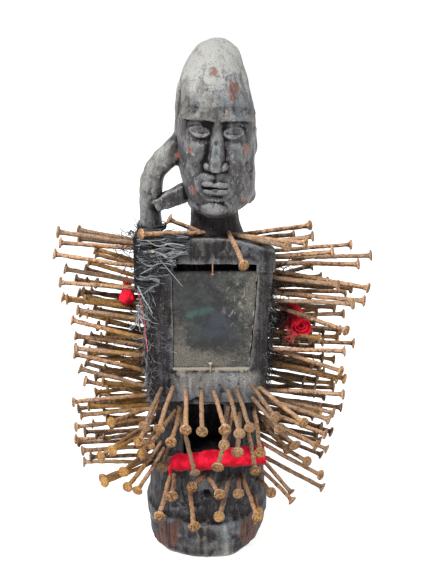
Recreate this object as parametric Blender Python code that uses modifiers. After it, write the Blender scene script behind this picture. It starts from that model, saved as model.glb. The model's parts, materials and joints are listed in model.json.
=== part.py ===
"""Nail fetish figure: a standing figure carved from one log, with one arm raised
to the head, a box cut into the chest behind a thin cover, and iron nails driven
into its sides and belly. Metres, +Z up, the figure faces -Y, and the origin is
the middle of the flat underside."""
import math

import bmesh
import bpy
import numpy as np
from mathutils import Matrix, Vector
from mathutils.bvhtree import BVHTree

for o in list(bpy.data.objects):
    bpy.data.objects.remove(o, do_unlink=True)

# ---------------------------------------------------------------- sizes
HEIGHT = 0.527
CLEAR = 0.0003

# Base, a short drum with a worn lower edge
BASE_W, BASE_D, BASE_TOP = 0.0630, 0.0700, 0.041

# Hips and legs: (height, half width, half depth)
LEGS = [
    (0.034, 0.0610, 0.0600),
    (0.055, 0.0625, 0.0600),
    (0.080, 0.0600, 0.0560),
    (0.110, 0.0560, 0.0500),
    (0.140, 0.0550, 0.0460),
    (0.178, 0.0570, 0.0430),
]
GAP_L, GAP_R, GAP_BOTTOM, GAP_TOP, GAP_BACK = -0.025, 0.018, 0.103, 0.166, 0.006

# Chest, a box that widens upwards
FRONT, BACK = -0.046, 0.044
CHEST_BOTTOM, CHEST_STEP, CHEST_TOP, COLLAR = 0.170, 0.309, 0.3315, 0.3435
ROOF_FALL = 0.22  # the shoulders fall away to the back
CHEST_W_LOW, CHEST_W_STEP, CHEST_W_HIGH = 0.0600, 0.0650, 0.0672

# Box in the chest, with a rebate for the cover
BOX_L, BOX_R, BOX_LOW, BOX_HIGH, BOX_BACK = -0.0300, 0.0395, 0.2120, 0.3172, -0.014
SLOT_L, SLOT_R = -0.0325, 0.0490
REBATE, COVER_T = 0.0055, 0.0046
COVER_L, COVER_R_TOP, COVER_R_LOW, COVER_LOW, COVER_HIGH = (
    -0.0335,
    0.0500,
    0.0430,
    0.2085,
    0.3090,
)

# Neck and head
HEAD_LOW, HEAD_TURN = 0.3625, math.radians(2.5)
# (height, half width, front, back, middle)
HEAD = [
    (HEAD_LOW, 0.0150, -0.0465, -0.0100, 0.0115),
    (0.3665, 0.0218, -0.0495, 0.0020, 0.0119),
    (0.3730, 0.0293, -0.0500, 0.0160, 0.0140),
    (0.3830, 0.0349, -0.0495, 0.0300, 0.0150),
    (0.3950, 0.0368, -0.0485, 0.0375, 0.0134),
    (0.4100, 0.0384, -0.0475, 0.0415, 0.0112),
    (0.4300, 0.0392, -0.0465, 0.0430, 0.0098),
    (0.4480, 0.0392, -0.0460, 0.0435, 0.0088),
    (0.4560, 0.0388, -0.0490, 0.0435, 0.0082),
    (0.4700, 0.0368, -0.0475, 0.0428, 0.0068),
    (0.4840, 0.0338, -0.0440, 0.0410, 0.0056),
    (0.4980, 0.0296, -0.0380, 0.0370, 0.0048),
    (0.5100, 0.0246, -0.0305, 0.0310, 0.0058),
    (0.5185, 0.0190, -0.0230, 0.0245, 0.0066),
    (0.5240, 0.0125, -0.0145, 0.0165, 0.0072),
    (HEIGHT, 0.0055, -0.0060, 0.0080, 0.0075),
]

# Face by the usual canon: the eyes halfway up the head, the base of the nose
# halfway from brow to chin, and the mouth a third of the way down from there.
EYE_LINE = (HEAD_LOW + HEIGHT) / 2
BROW = EYE_LINE + 0.0105
NOSE_BASE = (BROW + HEAD_LOW) / 2
MOUTH = NOSE_BASE - (NOSE_BASE - HEAD_LOW) / 3
EYE_W = 0.0156  # a fifth of the head's width

# Raised arm: (x, y, height, half width, half depth)
ARM = [
    (-0.0545, 0.0000, 0.3140, 0.0118, 0.0150),
    (-0.0556, 0.0000, 0.3480, 0.0108, 0.0135),
    (-0.0560, -0.0010, 0.3700, 0.0106, 0.0128),
    (-0.0545, -0.0020, 0.3900, 0.0106, 0.0125),
    (-0.0502, -0.0030, 0.4020, 0.0100, 0.0125),
    (-0.0410, -0.0040, 0.4126, 0.0112, 0.0120),
    (-0.0255, -0.0050, 0.4240, 0.0135, 0.0110),
]

# Nails of two stocks: shank, head radius, head thickness
SHANK, NAIL_HEAD, NAIL_HEAD_T, DRIVEN = 0.0023, 0.0056, 0.0016, 0.018
SIDES = 8

# ---------------------------------------------------------------- front view
# Nails, cloth and binding are laid out on one front view, in steps of about a
# millimetre, u to the right and v down. It looks down a little from EYE.
EYE = Vector((0.0097, -0.970, 0.6104))
LOOK_DOWN = math.radians(19.0)
MID_U, MID_V, STEPS = 216.5, 288.5, 1000.0


def sight(u, v):
    """Unit vector along the line of sight at (u, v)."""
    across = Vector((1, 0, 0))
    ahead = Vector((0, math.cos(LOOK_DOWN), -math.sin(LOOK_DOWN)))
    up = Vector((0, math.sin(LOOK_DOWN), math.cos(LOOK_DOWN)))
    return (
        ahead + across * (u - MID_U) / STEPS - up * (v - MID_V) / STEPS
    ).normalized()


def at_depth(u, v, y):
    """The point seen at (u, v) on the upright plane at depth y."""
    d = sight(u, v)
    return EYE + d * ((y - EYE.y) / d.y)


# ---------------------------------------------------------------- materials
def material(name, colour, rough, metal=0.0):
    m = bpy.data.materials.new(name)
    m.use_nodes = True
    b = m.node_tree.nodes["Principled BSDF"]
    b.inputs["Base Color"].default_value = (*colour, 1)
    b.inputs["Roughness"].default_value = rough
    b.inputs["Metallic"].default_value = metal
    return m


WOOD = material("dark_wood", (0.045, 0.042, 0.045), 0.62)
COVER = material("cover_panel", (0.035, 0.042, 0.045), 0.35)
IRON = material("rusty_iron", (0.36, 0.20, 0.11), 0.75, 0.3)
PIN = material("pin_metal", (0.52, 0.36, 0.30), 0.5, 0.6)
RED = material("red_cloth", (0.75, 0.01, 0.05), 0.85)
FIBRE = material("dry_fibre", (0.16, 0.15, 0.13), 0.9)

parts = bpy.data.collections.new("nail_fetish_figure")
cutters = bpy.data.collections.new("cutters")
bpy.context.scene.collection.children.link(parts)
bpy.context.scene.collection.children.link(cutters)


def place(name, bm, mat=None, where=None):
    """A mesh object from bm, in the parts or as a guide among the cutters."""
    mesh = bpy.data.meshes.new(name)
    bmesh.ops.recalc_face_normals(bm, faces=bm.faces)
    bm.to_mesh(mesh)
    bm.free()
    ob = bpy.data.objects.new(name, mesh)
    (where or parts).objects.link(ob)
    if mat:
        mesh.materials.append(mat)
    if where is cutters:
        ob.hide_render = True
        ob.display_type = "WIRE"
    return ob


# ---------------------------------------------------------------- shapes
def oval(a, b, power, count, cx=0.0, cy=0.0):
    """A superellipse: power 2 is an ellipse, larger is squarer."""
    ring = []
    for i in range(count):
        t = 2 * math.pi * (i + 0.5) / count
        c, s = math.cos(t), math.sin(t)
        ring.append(
            (
                cx + a * math.copysign(abs(c) ** (2 / power), c),
                cy + b * math.copysign(abs(s) ** (2 / power), s),
            )
        )
    return ring


def loft(rings):
    """A closed skin over rings of points, from the first ring to the last."""
    bm = bmesh.new()
    rows = [[bm.verts.new(p) for p in ring] for ring in rings]
    n = len(rows[0])
    for low, high in zip(rows, rows[1:]):
        for i in range(n):
            j = (i + 1) % n
            bm.faces.new((low[i], low[j], high[j], high[i]))
    bm.faces.new(list(reversed(rows[0])))
    bm.faces.new(rows[-1])
    return bm


def level(ring, z):
    return [(x, y, z) for x, y in ring]


def brick(x0, x1, y0, y1, z0, z1, bevel=0.0):
    bm = bmesh.new()
    bmesh.ops.create_cube(bm, size=1)
    for v in bm.verts:
        v.co.x = x0 if v.co.x < 0 else x1
        v.co.y = y0 if v.co.y < 0 else y1
        v.co.z = z0 if v.co.z < 0 else z1
    if bevel:
        bmesh.ops.bevel(
            bm, geom=bm.edges[:], offset=bevel, segments=1, affect="EDGES"
        )
    return bm


def ball(size, at, u=10, v=6, turn=None):
    bm = bmesh.new()
    bmesh.ops.create_uvsphere(bm, u_segments=u, v_segments=v, radius=1)
    m = Matrix.Translation(at) @ (turn or Matrix()) @ Matrix.Diagonal((*size, 1))
    bmesh.ops.transform(bm, matrix=m, verts=bm.verts)
    return bm


def boxed(half_w, z, front=FRONT, back=BACK, cut=0.004, shift=0.0):
    """A level rectangle with its corners cut, as eight points."""
    x0, x1 = shift - half_w, shift + half_w
    return [
        (x, y, z)
        for x, y in (
            (x0 + cut, front),
            (x1 - cut, front),
            (x1, front + cut),
            (x1, back - cut * 2),
            (x1 - cut * 2, back),
            (x0 + cut * 2, back),
            (x0, back - cut * 2),
            (x0, front + cut),
        )
    ]


def chest_half(z):
    """Half the chest's width at height z."""
    if z > CHEST_STEP:
        return CHEST_W_HIGH
    share = (z - CHEST_BOTTOM) / (CHEST_STEP - CHEST_BOTTOM)
    return CHEST_W_LOW + (CHEST_W_STEP - CHEST_W_LOW) * share


def evaluated(ob):
    dg = bpy.context.evaluated_depsgraph_get()
    dg.update()
    return bpy.data.meshes.new_from_object(ob.evaluated_get(dg))


def settle(ob):
    """Keeps the evaluated mesh, welded, and drops the modifiers."""
    mesh = evaluated(ob)
    bm = bmesh.new()
    bm.from_mesh(mesh)
    bmesh.ops.remove_doubles(bm, verts=bm.verts, dist=0.00002)
    bmesh.ops.dissolve_degenerate(bm, edges=bm.edges, dist=0.00002)
    bm.to_mesh(mesh)
    bm.free()
    ob.modifiers.clear()
    ob.data = mesh


def join(ob, others, how):
    for other in others:
        mod = ob.modifiers.new(how.lower(), "BOOLEAN")
        mod.operation = how
        mod.solver = "EXACT"
        mod.object = other
    settle(ob)


# ---------------------------------------------------------------- body masses
def worn_base():
    rings = []
    for z, inset in ((0.0, 0.0052), (0.0015, 0.0028), (0.006, 0.0010), (0.013, 0.0)):
        rings.append(level(oval(BASE_W - inset, BASE_D - inset, 2.25, 28), z))
    rings.append(level(oval(BASE_W + 0.0005, BASE_D, 2.25, 28), 0.030))
    rings.append(level(oval(BASE_W, BASE_D - 0.0005, 2.25, 28), BASE_TOP - 0.002))
    rings.append(level(oval(BASE_W - 0.002, BASE_D - 0.0028, 2.25, 28), BASE_TOP))
    return loft(rings)


def legs():
    return loft([level(oval(a, b, 2.7, 28), z) for z, a, b in LEGS])


def falling(ring):
    """A level ring laid on the slope of the shoulders."""
    return [(x, y, z - ROOF_FALL * (y - FRONT)) for x, y, z in ring]


def chest():
    top = boxed(CHEST_W_HIGH, CHEST_TOP, FRONT - 0.0008)
    cut = 0.020
    for i, (x, y, z) in enumerate(top):
        if y == BACK:
            top[i] = (math.copysign(CHEST_W_HIGH - cut, x), y, z)
        elif y > 0:
            top[i] = (x, BACK - cut, z)
    return loft(
        [
            boxed(chest_half(CHEST_BOTTOM), CHEST_BOTTOM),
            boxed(chest_half(CHEST_STEP), CHEST_STEP),
            boxed(CHEST_W_HIGH, CHEST_STEP + 0.0012, FRONT - 0.0012),
            falling(top),
            falling(boxed(0.0420, COLLAR, -0.0440, 0.0220, 0.005, -0.0220)),
        ]
    )


def neck():
    shape = (
        (0.300, 0.0110, 0.0300, 0.0330),
        (0.3360, 0.0100, 0.0275, 0.0320),
        (0.3450, 0.0085, 0.0240, 0.0275),
        (0.3600, 0.0080, 0.0235, 0.0255),
        (0.3950, 0.0080, 0.0225, 0.0255),
    )
    return loft([level(oval(a, b, 2.2, 20, x, 0.0), z) for z, x, a, b in shape])


def head():
    rings = []
    for z, a, front, back, mid in HEAD:
        rings.append(
            level(oval(a, (back - front) / 2, 2.35, 22, mid, (front + back) / 2), z)
        )
    return loft(rings)


def face_front(z):
    """How far forward the plain head comes at height z."""
    zs = [row[0] for row in HEAD]
    return float(np.interp(z, zs, [row[2] for row in HEAD]))


def nose():
    """A straight wedge that widens to the wings."""
    rings = []
    for z, half, out in (
        (BROW + 0.002, 0.0042, 0.0000),
        (EYE_LINE, 0.0042, 0.0035),
        (NOSE_BASE + 0.014, 0.0055, 0.0080),
        (NOSE_BASE + 0.006, 0.0098, 0.0118),
        (NOSE_BASE, 0.0102, 0.0105),
    ):
        y = face_front(z)
        rings.append(
            [
                (FACE_X - half, y + 0.006, z),
                (FACE_X - half, y - out * 0.35, z),
                (FACE_X - half * 0.45, y - out, z),
                (FACE_X + half * 0.45, y - out, z),
                (FACE_X + half, y - out * 0.35, z),
                (FACE_X + half, y + 0.006, z),
            ]
        )
    return loft(list(reversed(rings)))


FACE_X = 0.0098


def turned(bm):
    """Leans the head and what is on it a little to its own left."""
    pivot = Vector((FACE_X, 0, EYE_LINE))
    m = (
        Matrix.Translation(pivot)
        @ Matrix.Rotation(HEAD_TURN, 4, "Y")
        @ Matrix.Translation(-pivot)
    )
    bmesh.ops.transform(bm, matrix=m, verts=bm.verts)
    return bm


def face_parts():
    """Brow, lids, lips and ears that stand proud of the plain head."""
    made = [nose()]
    for side in (-1, 1):
        x = FACE_X + side * EYE_W
        made.append(
            ball(
                (EYE_W * 0.52, 0.0060, 0.0050),
                (x, face_front(EYE_LINE) + 0.0040 + 0.0012, EYE_LINE),
                12,
                6,
            )
        )
        tilt = Matrix.Rotation(-side * 0.05, 4, "Y")
        made.append(
            ball(
                (EYE_W * 0.78, 0.0070, 0.0034),
                (x + side * 0.001, face_front(BROW) + 0.0042, BROW + 0.0005),
                12,
                6,
                tilt,
            )
        )
        made.append(
            ball(
                (0.0042, 0.0085, 0.0125),
                (FACE_X + side * 0.0372, 0.006, (BROW + NOSE_BASE) / 2),
                8,
                6,
            )
        )
    for z, half, tall, out in (
        (MOUTH + 0.0030, 0.0128, 0.0030, 0.0030),
        (MOUTH - 0.0034, 0.0118, 0.0034, 0.0026),
    ):
        made.append(
            ball((half, 0.0070, tall), (FACE_X, face_front(z) - out + 0.0055, z), 12, 6)
        )
    made.append(
        ball((0.0110, 0.0080, 0.0060), (FACE_X, face_front(0.371) + 0.0046, 0.3715))
    )
    # the lump at the left corner of the jaw
    made.append(ball((0.0065, 0.0080, 0.0075), (FACE_X + 0.0350, -0.012, 0.3790), 8, 6))
    return made


def arm():
    rings = []
    for i, (x, y, z, a, b) in enumerate(ARM):
        x0, _, z0 = ARM[max(i - 1, 0)][:3]
        x1, _, z1 = ARM[min(i + 1, len(ARM) - 1)][:3]
        lean = math.atan2(x1 - x0, z1 - z0)
        ring = []
        for dx, dy in oval(a, b, 2.6, 12):
            ring.append((x + dx * math.cos(lean), y + dy, z - dx * math.sin(lean)))
        rings.append(ring)
    return loft(rings)


def strut():
    """The block that props the raised arm against the jaw, thicker at the jaw."""
    bm = brick(-0.0150, 0.0190, -0.0095, 0.0085, -0.0073, 0.0073, 0.0012)
    for v in bm.verts:
        v.co.z *= 1 + 12 * v.co.x
    m = Matrix.Translation((-0.0370, -0.0060, 0.3720)) @ Matrix.Rotation(
        -math.radians(23), 4, "Y"
    )
    bmesh.ops.transform(bm, matrix=m, verts=bm.verts)
    return bm


def lug():
    """The low boss between the feet, under the gap."""
    return loft(
        [
            level(oval(0.021, 0.020, 2.6, 12, 0.000, -0.040), 0.036),
            level(oval(0.019, 0.019, 2.6, 12, 0.002, -0.040), 0.080),
            level(oval(0.015, 0.012, 2.4, 12, 0.006, -0.034), 0.106),
        ]
    )


body = place("body", worn_base(), WOOD)
masses = [legs(), lug(), chest(), neck(), turned(head()), arm(), strut()]
masses += [turned(bm) for bm in face_parts()]
join(
    body,
    [place(f"mass_{i}", bm, None, cutters) for i, bm in enumerate(masses)],
    "UNION",
)

# ---------------------------------------------------------------- cuts
cuts = [
    # the gap between the legs, under the overhang of the chest
    brick(GAP_L, GAP_R, -0.080, GAP_BACK, GAP_BOTTOM, GAP_TOP, 0.003),
    # a shallow channel between the legs behind
    brick(-0.011, 0.009, 0.036, 0.080, 0.060, 0.158, 0.003),
    # the small hollow in the boss
    brick(-0.0075, 0.0055, -0.080, -0.0530, 0.0660, 0.0770, 0.002),
    # the box in the chest, and the rebate around it
    brick(BOX_L, BOX_R, -0.080, BOX_BACK, BOX_LOW, BOX_HIGH),
    # the slot that stays open above the cover
    brick(SLOT_L, SLOT_R, -0.080, FRONT + 0.020, COVER_HIGH - 0.003, BOX_HIGH),
    # the line of the mouth
    turned(
        brick(
            FACE_X - 0.0105,
            FACE_X + 0.0105,
            -0.080,
            face_front(MOUTH) - 0.0005,
            MOUTH - 0.0007,
            MOUTH + 0.0006,
        )
    ),
]
for side in (-1, 1):
    x = FACE_X + side * EYE_W
    cuts.append(
        turned(
            brick(
                x - EYE_W * 0.36,
                x + EYE_W * 0.36,
                -0.080,
                face_front(EYE_LINE) - 0.0002,
                EYE_LINE - 0.0012,
                EYE_LINE + 0.0008,
            )
        )
    )


def cover_outline(grow):
    """The cover's four corners, in x and z, with a margin round it."""
    return [
        (COVER_L - grow, COVER_LOW - grow),
        (COVER_R_LOW + grow, COVER_LOW - grow),
        (COVER_R_TOP + grow, COVER_HIGH + grow),
        (COVER_L - grow, COVER_HIGH + grow),
    ]


def slab(outline, y0, y1):
    return loft([[(x, y0, z) for x, z in outline], [(x, y1, z) for x, z in outline]])


cuts.append(slab(cover_outline(CLEAR), -0.080, FRONT + REBATE))
join(
    body,
    [place(f"cut_{i}", bm, None, cutters) for i, bm in enumerate(cuts)],
    "DIFFERENCE",
)

# ---------------------------------------------------------------- cover, pins
cover = place(
    "cover_panel",
    slab(cover_outline(0.0), FRONT + REBATE - CLEAR - COVER_T, FRONT + REBATE - CLEAR),
    COVER,
)


def turned_solid(name, profile, where, along, mat, sides=SIDES):
    """A solid turned from a profile (radius, height) that runs down from its top
    to its point, standing at where with its height along a direction."""
    mesh = bpy.data.meshes.new(name)
    mesh.from_pydata(
        [(r, 0, h) for r, h in profile],
        [(i, i + 1) for i in range(len(profile) - 1)],
        [],
    )
    ob = bpy.data.objects.new(name, mesh)
    parts.objects.link(ob)
    mesh.materials.append(mat)
    ob.matrix_world = Matrix.Translation(where) @ along.to_track_quat(
        "Z", "Y"
    ).to_matrix().to_4x4()
    mod = ob.modifiers.new("turn", "SCREW")
    mod.axis = "Z"
    mod.steps = mod.render_steps = sides
    mod.use_merge_vertices = True
    mod.merge_threshold = 0.00005
    mod.use_smooth_shade = False
    return ob


def drill(where, along, depth, radius, out, sides=SIDES):
    """A round cutter from depth below where to out above it."""
    bm = bmesh.new()
    bmesh.ops.create_cone(
        bm,
        cap_ends=True,
        cap_tris=False,
        segments=sides,
        radius1=radius,
        radius2=radius,
        depth=depth + out,
    )
    bmesh.ops.translate(bm, verts=bm.verts, vec=(0, 0, (out - depth) / 2))
    m = Matrix.Translation(where) @ along.to_track_quat("Z", "Y").to_matrix().to_4x4()
    bmesh.ops.transform(bm, matrix=m, verts=bm.verts)
    return bm


holes = []
PIN_R, PIN_HEAD, PIN_IN = 0.0007, 0.0022, 0.006
PIN_Y = FRONT + REBATE - CLEAR - COVER_T - CLEAR - PIN_HEAD - 0.0006
# Each pin is driven slantwise into the edge above or below the cover, and its
# head laps over the cover.
for name, u, z_head, z_wood, y_wood, way in (
    ("cover_pin_top", 212.6, COVER_HIGH - 0.0022, BOX_HIGH, FRONT + 0.0002, -1),
    ("cover_pin_bottom", 210.3, COVER_LOW + 0.0062, COVER_LOW - CLEAR, FRONT + 0.0009, 1),
):
    x = at_depth(u, 275, FRONT).x
    top = Vector((x, PIN_Y, z_head))
    foot = Vector((x, y_wood, z_wood - way * PIN_IN))
    long = (top - foot).length
    along = (top - foot).normalized()
    turned_solid(
        name,
        [
            (0, long),
            (PIN_HEAD, long - 0.0002),
            (PIN_HEAD, long - 0.0009),
            (PIN_R, long - 0.0018),
            (PIN_R, 0.0012),
            (0, 0),
        ],
        foot,
        along,
        PIN,
        6,
    )
    holes.append(drill(foot, along, CLEAR, PIN_R + CLEAR, PIN_IN * 1.6))

# ---------------------------------------------------------------- nails
skin = BVHTree.FromPolygons(
    [v.co for v in body.data.vertices], [p.vertices for p in body.data.polygons]
)


def on_skin(u, v):
    d = sight(u, v)
    hit = skin.ray_cast(EYE, d)[0]
    return hit


def on_side(u0, v0, u1, v1, side, y):
    """Where a nail seen along (u0, v0)-(u1, v1) meets the chest's side or the
    legs' side at depth y."""
    across = sight(u0, v0).cross(sight(u1, v1))
    z = at_depth(u0, v0, y).z
    for _ in range(6):
        start = Vector((side * 0.2, y, z))
        hit = skin.ray_cast(start, Vector((-side, 0, 0)))[0]
        x = hit.x if hit else side * 0.06
        # the height at which (x, y) lies in the plane of sight
        z = EYE.z - (across.x * (x - EYE.x) + across.y * (y - EYE.y)) / across.z
    return Vector((x, y, z))


def head_point(entry, u, v, lean, out):
    """The head's middle, on the line of sight at (u, v). It leans towards the
    eye by lean degrees, or stands out from the wood by a length."""
    d = sight(u, v)
    near = (entry - EYE).dot(d)
    foot = EYE + d * near
    wide = (entry - foot).length
    if out:
        return EYE + d * (near - math.sqrt(max(out * out - wide * wide, 0)))
    return EYE + d * (near - wide * math.tan(math.radians(lean)))


# Side nails: side, (u, v) where the shank shows, (u, v) of the head, depth of
# the hole in millimetres from the middle of the chest, lean towards the eye.
SIDE_NAILS = [
    (-1, 137.4, 243.6, 57.7, 231.8, -22, -6),
    (-1, 134.2, 248.0, 60.2, 242.6, 6, 4),
    (-1, 136.7, 266.0, 54.1, 254.1, -30, -10),
    (-1, 136.0, 282.5, 65.0, 269.0, -14, -4),
    (-1, 134.0, 287.6, 60.2, 282.2, -36, -8),
    (-1, 126.5, 306.7, 62.4, 297.2, 12, 4),
    (-1, 129.7, 318.0, 77.4, 310.0, -24, 6),
    (-1, 136.5, 335.5, 72.0, 320.0, -32, -4),
    (-1, 142.3, 345.7, 75.3, 335.8, -14, 2),
    (-1, 143.5, 354.6, 75.3, 348.3, -34, 8),
    (-1, 144.8, 371.0, 74.7, 354.0, -20, -6),
    (-1, 144.2, 386.0, 80.0, 368.7, -35, -2),
    (-1, 142.3, 392.3, 84.9, 380.8, 8, 4),
    (-1, 143.5, 395.5, 73.4, 401.8, -32, 10),
    (-1, 143.3, 418.8, 76.0, 426.8, -14, 10),
    (-1, 127.0, 448.0, 82.3, 450.7, -8, 10),
    (1, 280.0, 250.0, 351.0, 244.3, 30, -6),
    (1, 276.5, 257.0, 371.0, 255.5, 12, 4),
    (1, 276.5, 263.0, 358.7, 264.2, 0, 6),
    (1, 276.5, 271.4, 368.2, 288.1, 14, 16),
    (1, 279.0, 289.7, 345.5, 291.3, 32, -4),
    (1, 276.5, 293.0, 364.3, 301.0, 6, 8),
    (1, 272.5, 305.0, 346.5, 330.5, 8, 30),
    (1, 284.0, 315.0, 343.9, 313.7, 34, -6),
    (1, 278.4, 341.0, 353.8, 343.0, 20, 4),
    (1, 275.0, 349.6, 341.4, 371.0, 8, 24),
    (1, 273.0, 365.0, 337.4, 379.0, 14, 10),
    (1, 271.0, 390.4, 343.4, 394.4, -28, 8),
    (1, 269.0, 396.0, 333.4, 413.0, -10, 14),
    (1, 278.0, 416.0, 325.3, 434.3, -20, 20),
    (1, 276.0, 450.0, 320.5, 475.0, -16, 26),
    (1, 272.0, 460.7, 322.7, 487.7, -2, 14),
]
# Front nails: (u, v) where the shank enters, (u, v) of the head, and how far it
# stands out, in millimetres.
FRONT_NAILS = [
    (161.5, 389.0, 144.5, 427.0, 84),
    (173.0, 388.0, 159.0, 429.0, 84),
    (185.5, 391.0, 185.6, 430.0, 82),
    (202.0, 391.0, 202.3, 431.6, 83),
    (213.5, 392.0, 225.0, 430.0, 84),
    (228.0, 391.0, 239.5, 433.7, 84),
    (237.5, 389.0, 249.8, 427.5, 83),
    (252.0, 386.0, 275.0, 417.0, 83),
    (260.0, 388.0, 303.6, 423.0, 84),
    (175.0, 411.0, 149.5, 445.0, 82),
    (239.5, 413.0, 237.4, 452.2, 82),
    (253.5, 408.0, 260.3, 452.8, 84),
    (171.0, 474.0, 159.0, 516.3, 80),
    (190.0, 489.0, 194.0, 526.8, 78),
    (229.0, 478.0, 219.0, 517.0, 80),
    (243.0, 476.0, 257.8, 517.5, 80),
    (228.0, 233.0, 243.8, 265.7, 74),
    (203.0, 232.5, 140.6, 234.0, 70),
]
# These lie in a groove: in the edge of the shoulder, and in the fibre.
GROOVED = {"nail_front_17": 0.032, "nail_front_18": 0.058}


def plan_nails():
    """(name, entry, direction out of the wood, length outside) of every nail."""
    made = []
    for i, (side, u0, v0, u1, v1, y, lean) in enumerate(SIDE_NAILS):
        entry = on_side(u0, v0, u1, v1, side, y / 1000)
        tip = head_point(entry, u1, v1, lean, None)
        name = f"nail_{'left' if side < 0 else 'right'}_{i + 1:02d}"
        made.append((name, entry, (tip - entry).normalized(), (tip - entry).length))
    for i, (u0, v0, u1, v1, out) in enumerate(FRONT_NAILS):
        entry = on_skin(u0, v0)
        tip = head_point(entry, u1, v1, 0, out / 1000)
        made.append(
            (
                f"nail_front_{i + 1:02d}",
                entry,
                (tip - entry).normalized(),
                (tip - entry).length,
            )
        )
    return made


nails = plan_nails()
for name, entry, along, out in nails:
    long = out + DRIVEN + NAIL_HEAD_T / 2
    foot = entry - along * DRIVEN
    turned_solid(
        name,
        [
            (0, long),
            (NAIL_HEAD * 0.92, long),
            (NAIL_HEAD, long - 0.0006),
            (NAIL_HEAD, long - NAIL_HEAD_T),
            (SHANK, long - NAIL_HEAD_T - 0.0030),
            (SHANK, 0.0060),
            (0, 0),
        ],
        foot,
        along,
        IRON,
    )
    clear_of = GROOVED.get(name, 0.008)
    holes.append(drill(foot, along, CLEAR, SHANK + CLEAR * 1.2, DRIVEN + clear_of))

# ---------------------------------------------------------------- binding
BIND_LOW, BIND_HIGH, BIND_T, BIND_END = 0.291, 0.3500, 0.0042, -0.0150


def wrap():
    """Dry fibre bound round the front and side of the shoulder."""
    g = CLEAR * 1.5
    x_in, y_in = -CHEST_W_HIGH - g, FRONT - 0.0012 - g
    x_out, y_out = x_in - BIND_T, y_in - BIND_T
    plan = [
        (BIND_END, y_in),
        (x_in + 0.0036, y_in),
        (x_in, y_in + 0.0036),
        (x_in, 0.024),
        (x_out, 0.022),
        (x_out, y_out + 0.006),
        (x_out + 0.006, y_out),
        (BIND_END - 0.001, y_out + 0.0012),
    ]
    top = [(x, y, BIND_HIGH - 0.0004 - 0.35 * (y - y_out)) for x, y in plan]
    return loft([level(plan, BIND_LOW), top])


def wrap_top():
    """The same fibre over the front of the shoulder."""
    plan = [
        (-0.0712, -0.0505),
        (-0.0180, -0.0490),
        (-0.0195, -0.0290),
        (-0.0712, -0.0290),
    ]
    return loft([level(plan, COLLAR + CLEAR * 2), level(plan, BIND_HIGH)])


binding = place("fibre_binding", wrap(), FIBRE)
join(binding, [place("binding_top", wrap_top(), None, cutters)], "UNION")

drills = bmesh.new()
for bm in holes:
    mesh = bpy.data.meshes.new("hole")
    bm.to_mesh(mesh)
    bm.free()
    drills.from_mesh(mesh)
    bpy.data.meshes.remove(mesh)
drill_ob = place("nail_holes", drills, None, cutters)
for ob in (body, binding):
    join(ob, [drill_ob], "DIFFERENCE")

# ---------------------------------------------------------------- red cloth
def roll(name, a, b, radius, sides=10, squash=0.85):
    """A rolled cloth from a to b, a little flat and narrower at its ends."""
    a, b = Vector(a), Vector(b)
    axis = (b - a).normalized()
    m = axis.to_track_quat("Z", "Y").to_matrix()
    rings = []
    for t, size in ((0, 0.72), (0.06, 0.94), (0.5, 1.0), (0.94, 0.94), (1, 0.72)):
        at = a.lerp(b, t)
        rings.append(
            [
                at + m @ Vector((x, y, 0))
                for x, y in oval(radius * size, radius * size * squash, 2, sides)
            ]
        )
    return place(name, loft(rings), RED)


roll(
    "red_cloth_front",
    at_depth(177, 463, -0.0625),
    at_depth(262, 455, -0.0635),
    0.0098,
)
roll(
    "red_cloth_right",
    at_depth(292, 309, 0.020),
    at_depth(302.6, 327, -0.022),
    0.0088,
)
bundle = place(
    "red_cloth_left",
    ball((0.0070, 0.0080, 0.0090), at_depth(127.5, 296, -0.010), 10, 6),
    RED,
)

# ---------------------------------------------------------------- red thread
THREAD_R = 0.0005
THREAD = [
    (137.6, 292.0, -0.0530),
    (139.4, 297.0, -0.0550),
    (141.0, 303.0, -0.0530),
    (142.3, 310.0, -0.0510),
    (144.5, 323.0, -0.0495),
    (145.8, 335.5, -0.0492),
    (147.0, 345.0, -0.0492),
    (147.7, 351.5, -0.0494),
]


def smooth_route(points, step):
    """Evenly spaced points on a smooth curve through points."""
    p = np.array([points[0], *points, points[-1]], float)
    fine = []
    for i in range(len(points) - 1):
        a, b, c, d = p[i : i + 4]
        for t in np.linspace(0, 1, 24, endpoint=False):
            fine.append(
                0.5
                * (
                    2 * b
                    + (c - a) * t
                    + (2 * a - 5 * b + 4 * c - d) * t**2
                    + (3 * b - a - 3 * c + d) * t**3
                )
            )
    fine.append(p[-1])
    fine = np.array(fine)
    run = np.concatenate([[0], np.cumsum(np.linalg.norm(np.diff(fine, axis=0), axis=1))])
    at = np.linspace(0, run[-1], int(run[-1] / step) + 1)
    return np.stack([np.interp(at, run, fine[:, k]) for k in range(3)], axis=1)


curve = bpy.data.curves.new("red_thread", "CURVE")
curve.dimensions = "3D"
curve.bevel_depth = THREAD_R
curve.bevel_resolution = 2
curve.use_fill_caps = True
route = smooth_route([tuple(at_depth(*p)) for p in THREAD], 0.0028)
spline = curve.splines.new("POLY")
spline.points.add(len(route) - 1)
for point, co in zip(spline.points, route):
    point.co = (*co, 1)
thread = bpy.data.objects.new("red_thread", curve)
parts.objects.link(thread)
curve.materials.append(RED)

for ob in (body, cover, binding):
    ob.data.shade_smooth()
    ob.data.set_sharp_from_angle(angle=math.radians(35))
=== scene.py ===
"""Looks of the nail fetish figure: carved wood, iron nails, a covered box in the
chest, plant fibre and red cloth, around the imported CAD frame. Metres, +Z up."""
import json
import math

import bmesh
import bpy
import numpy as np
from mathutils import Matrix, Vector
from mathutils.bvhtree import BVHTree

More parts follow.
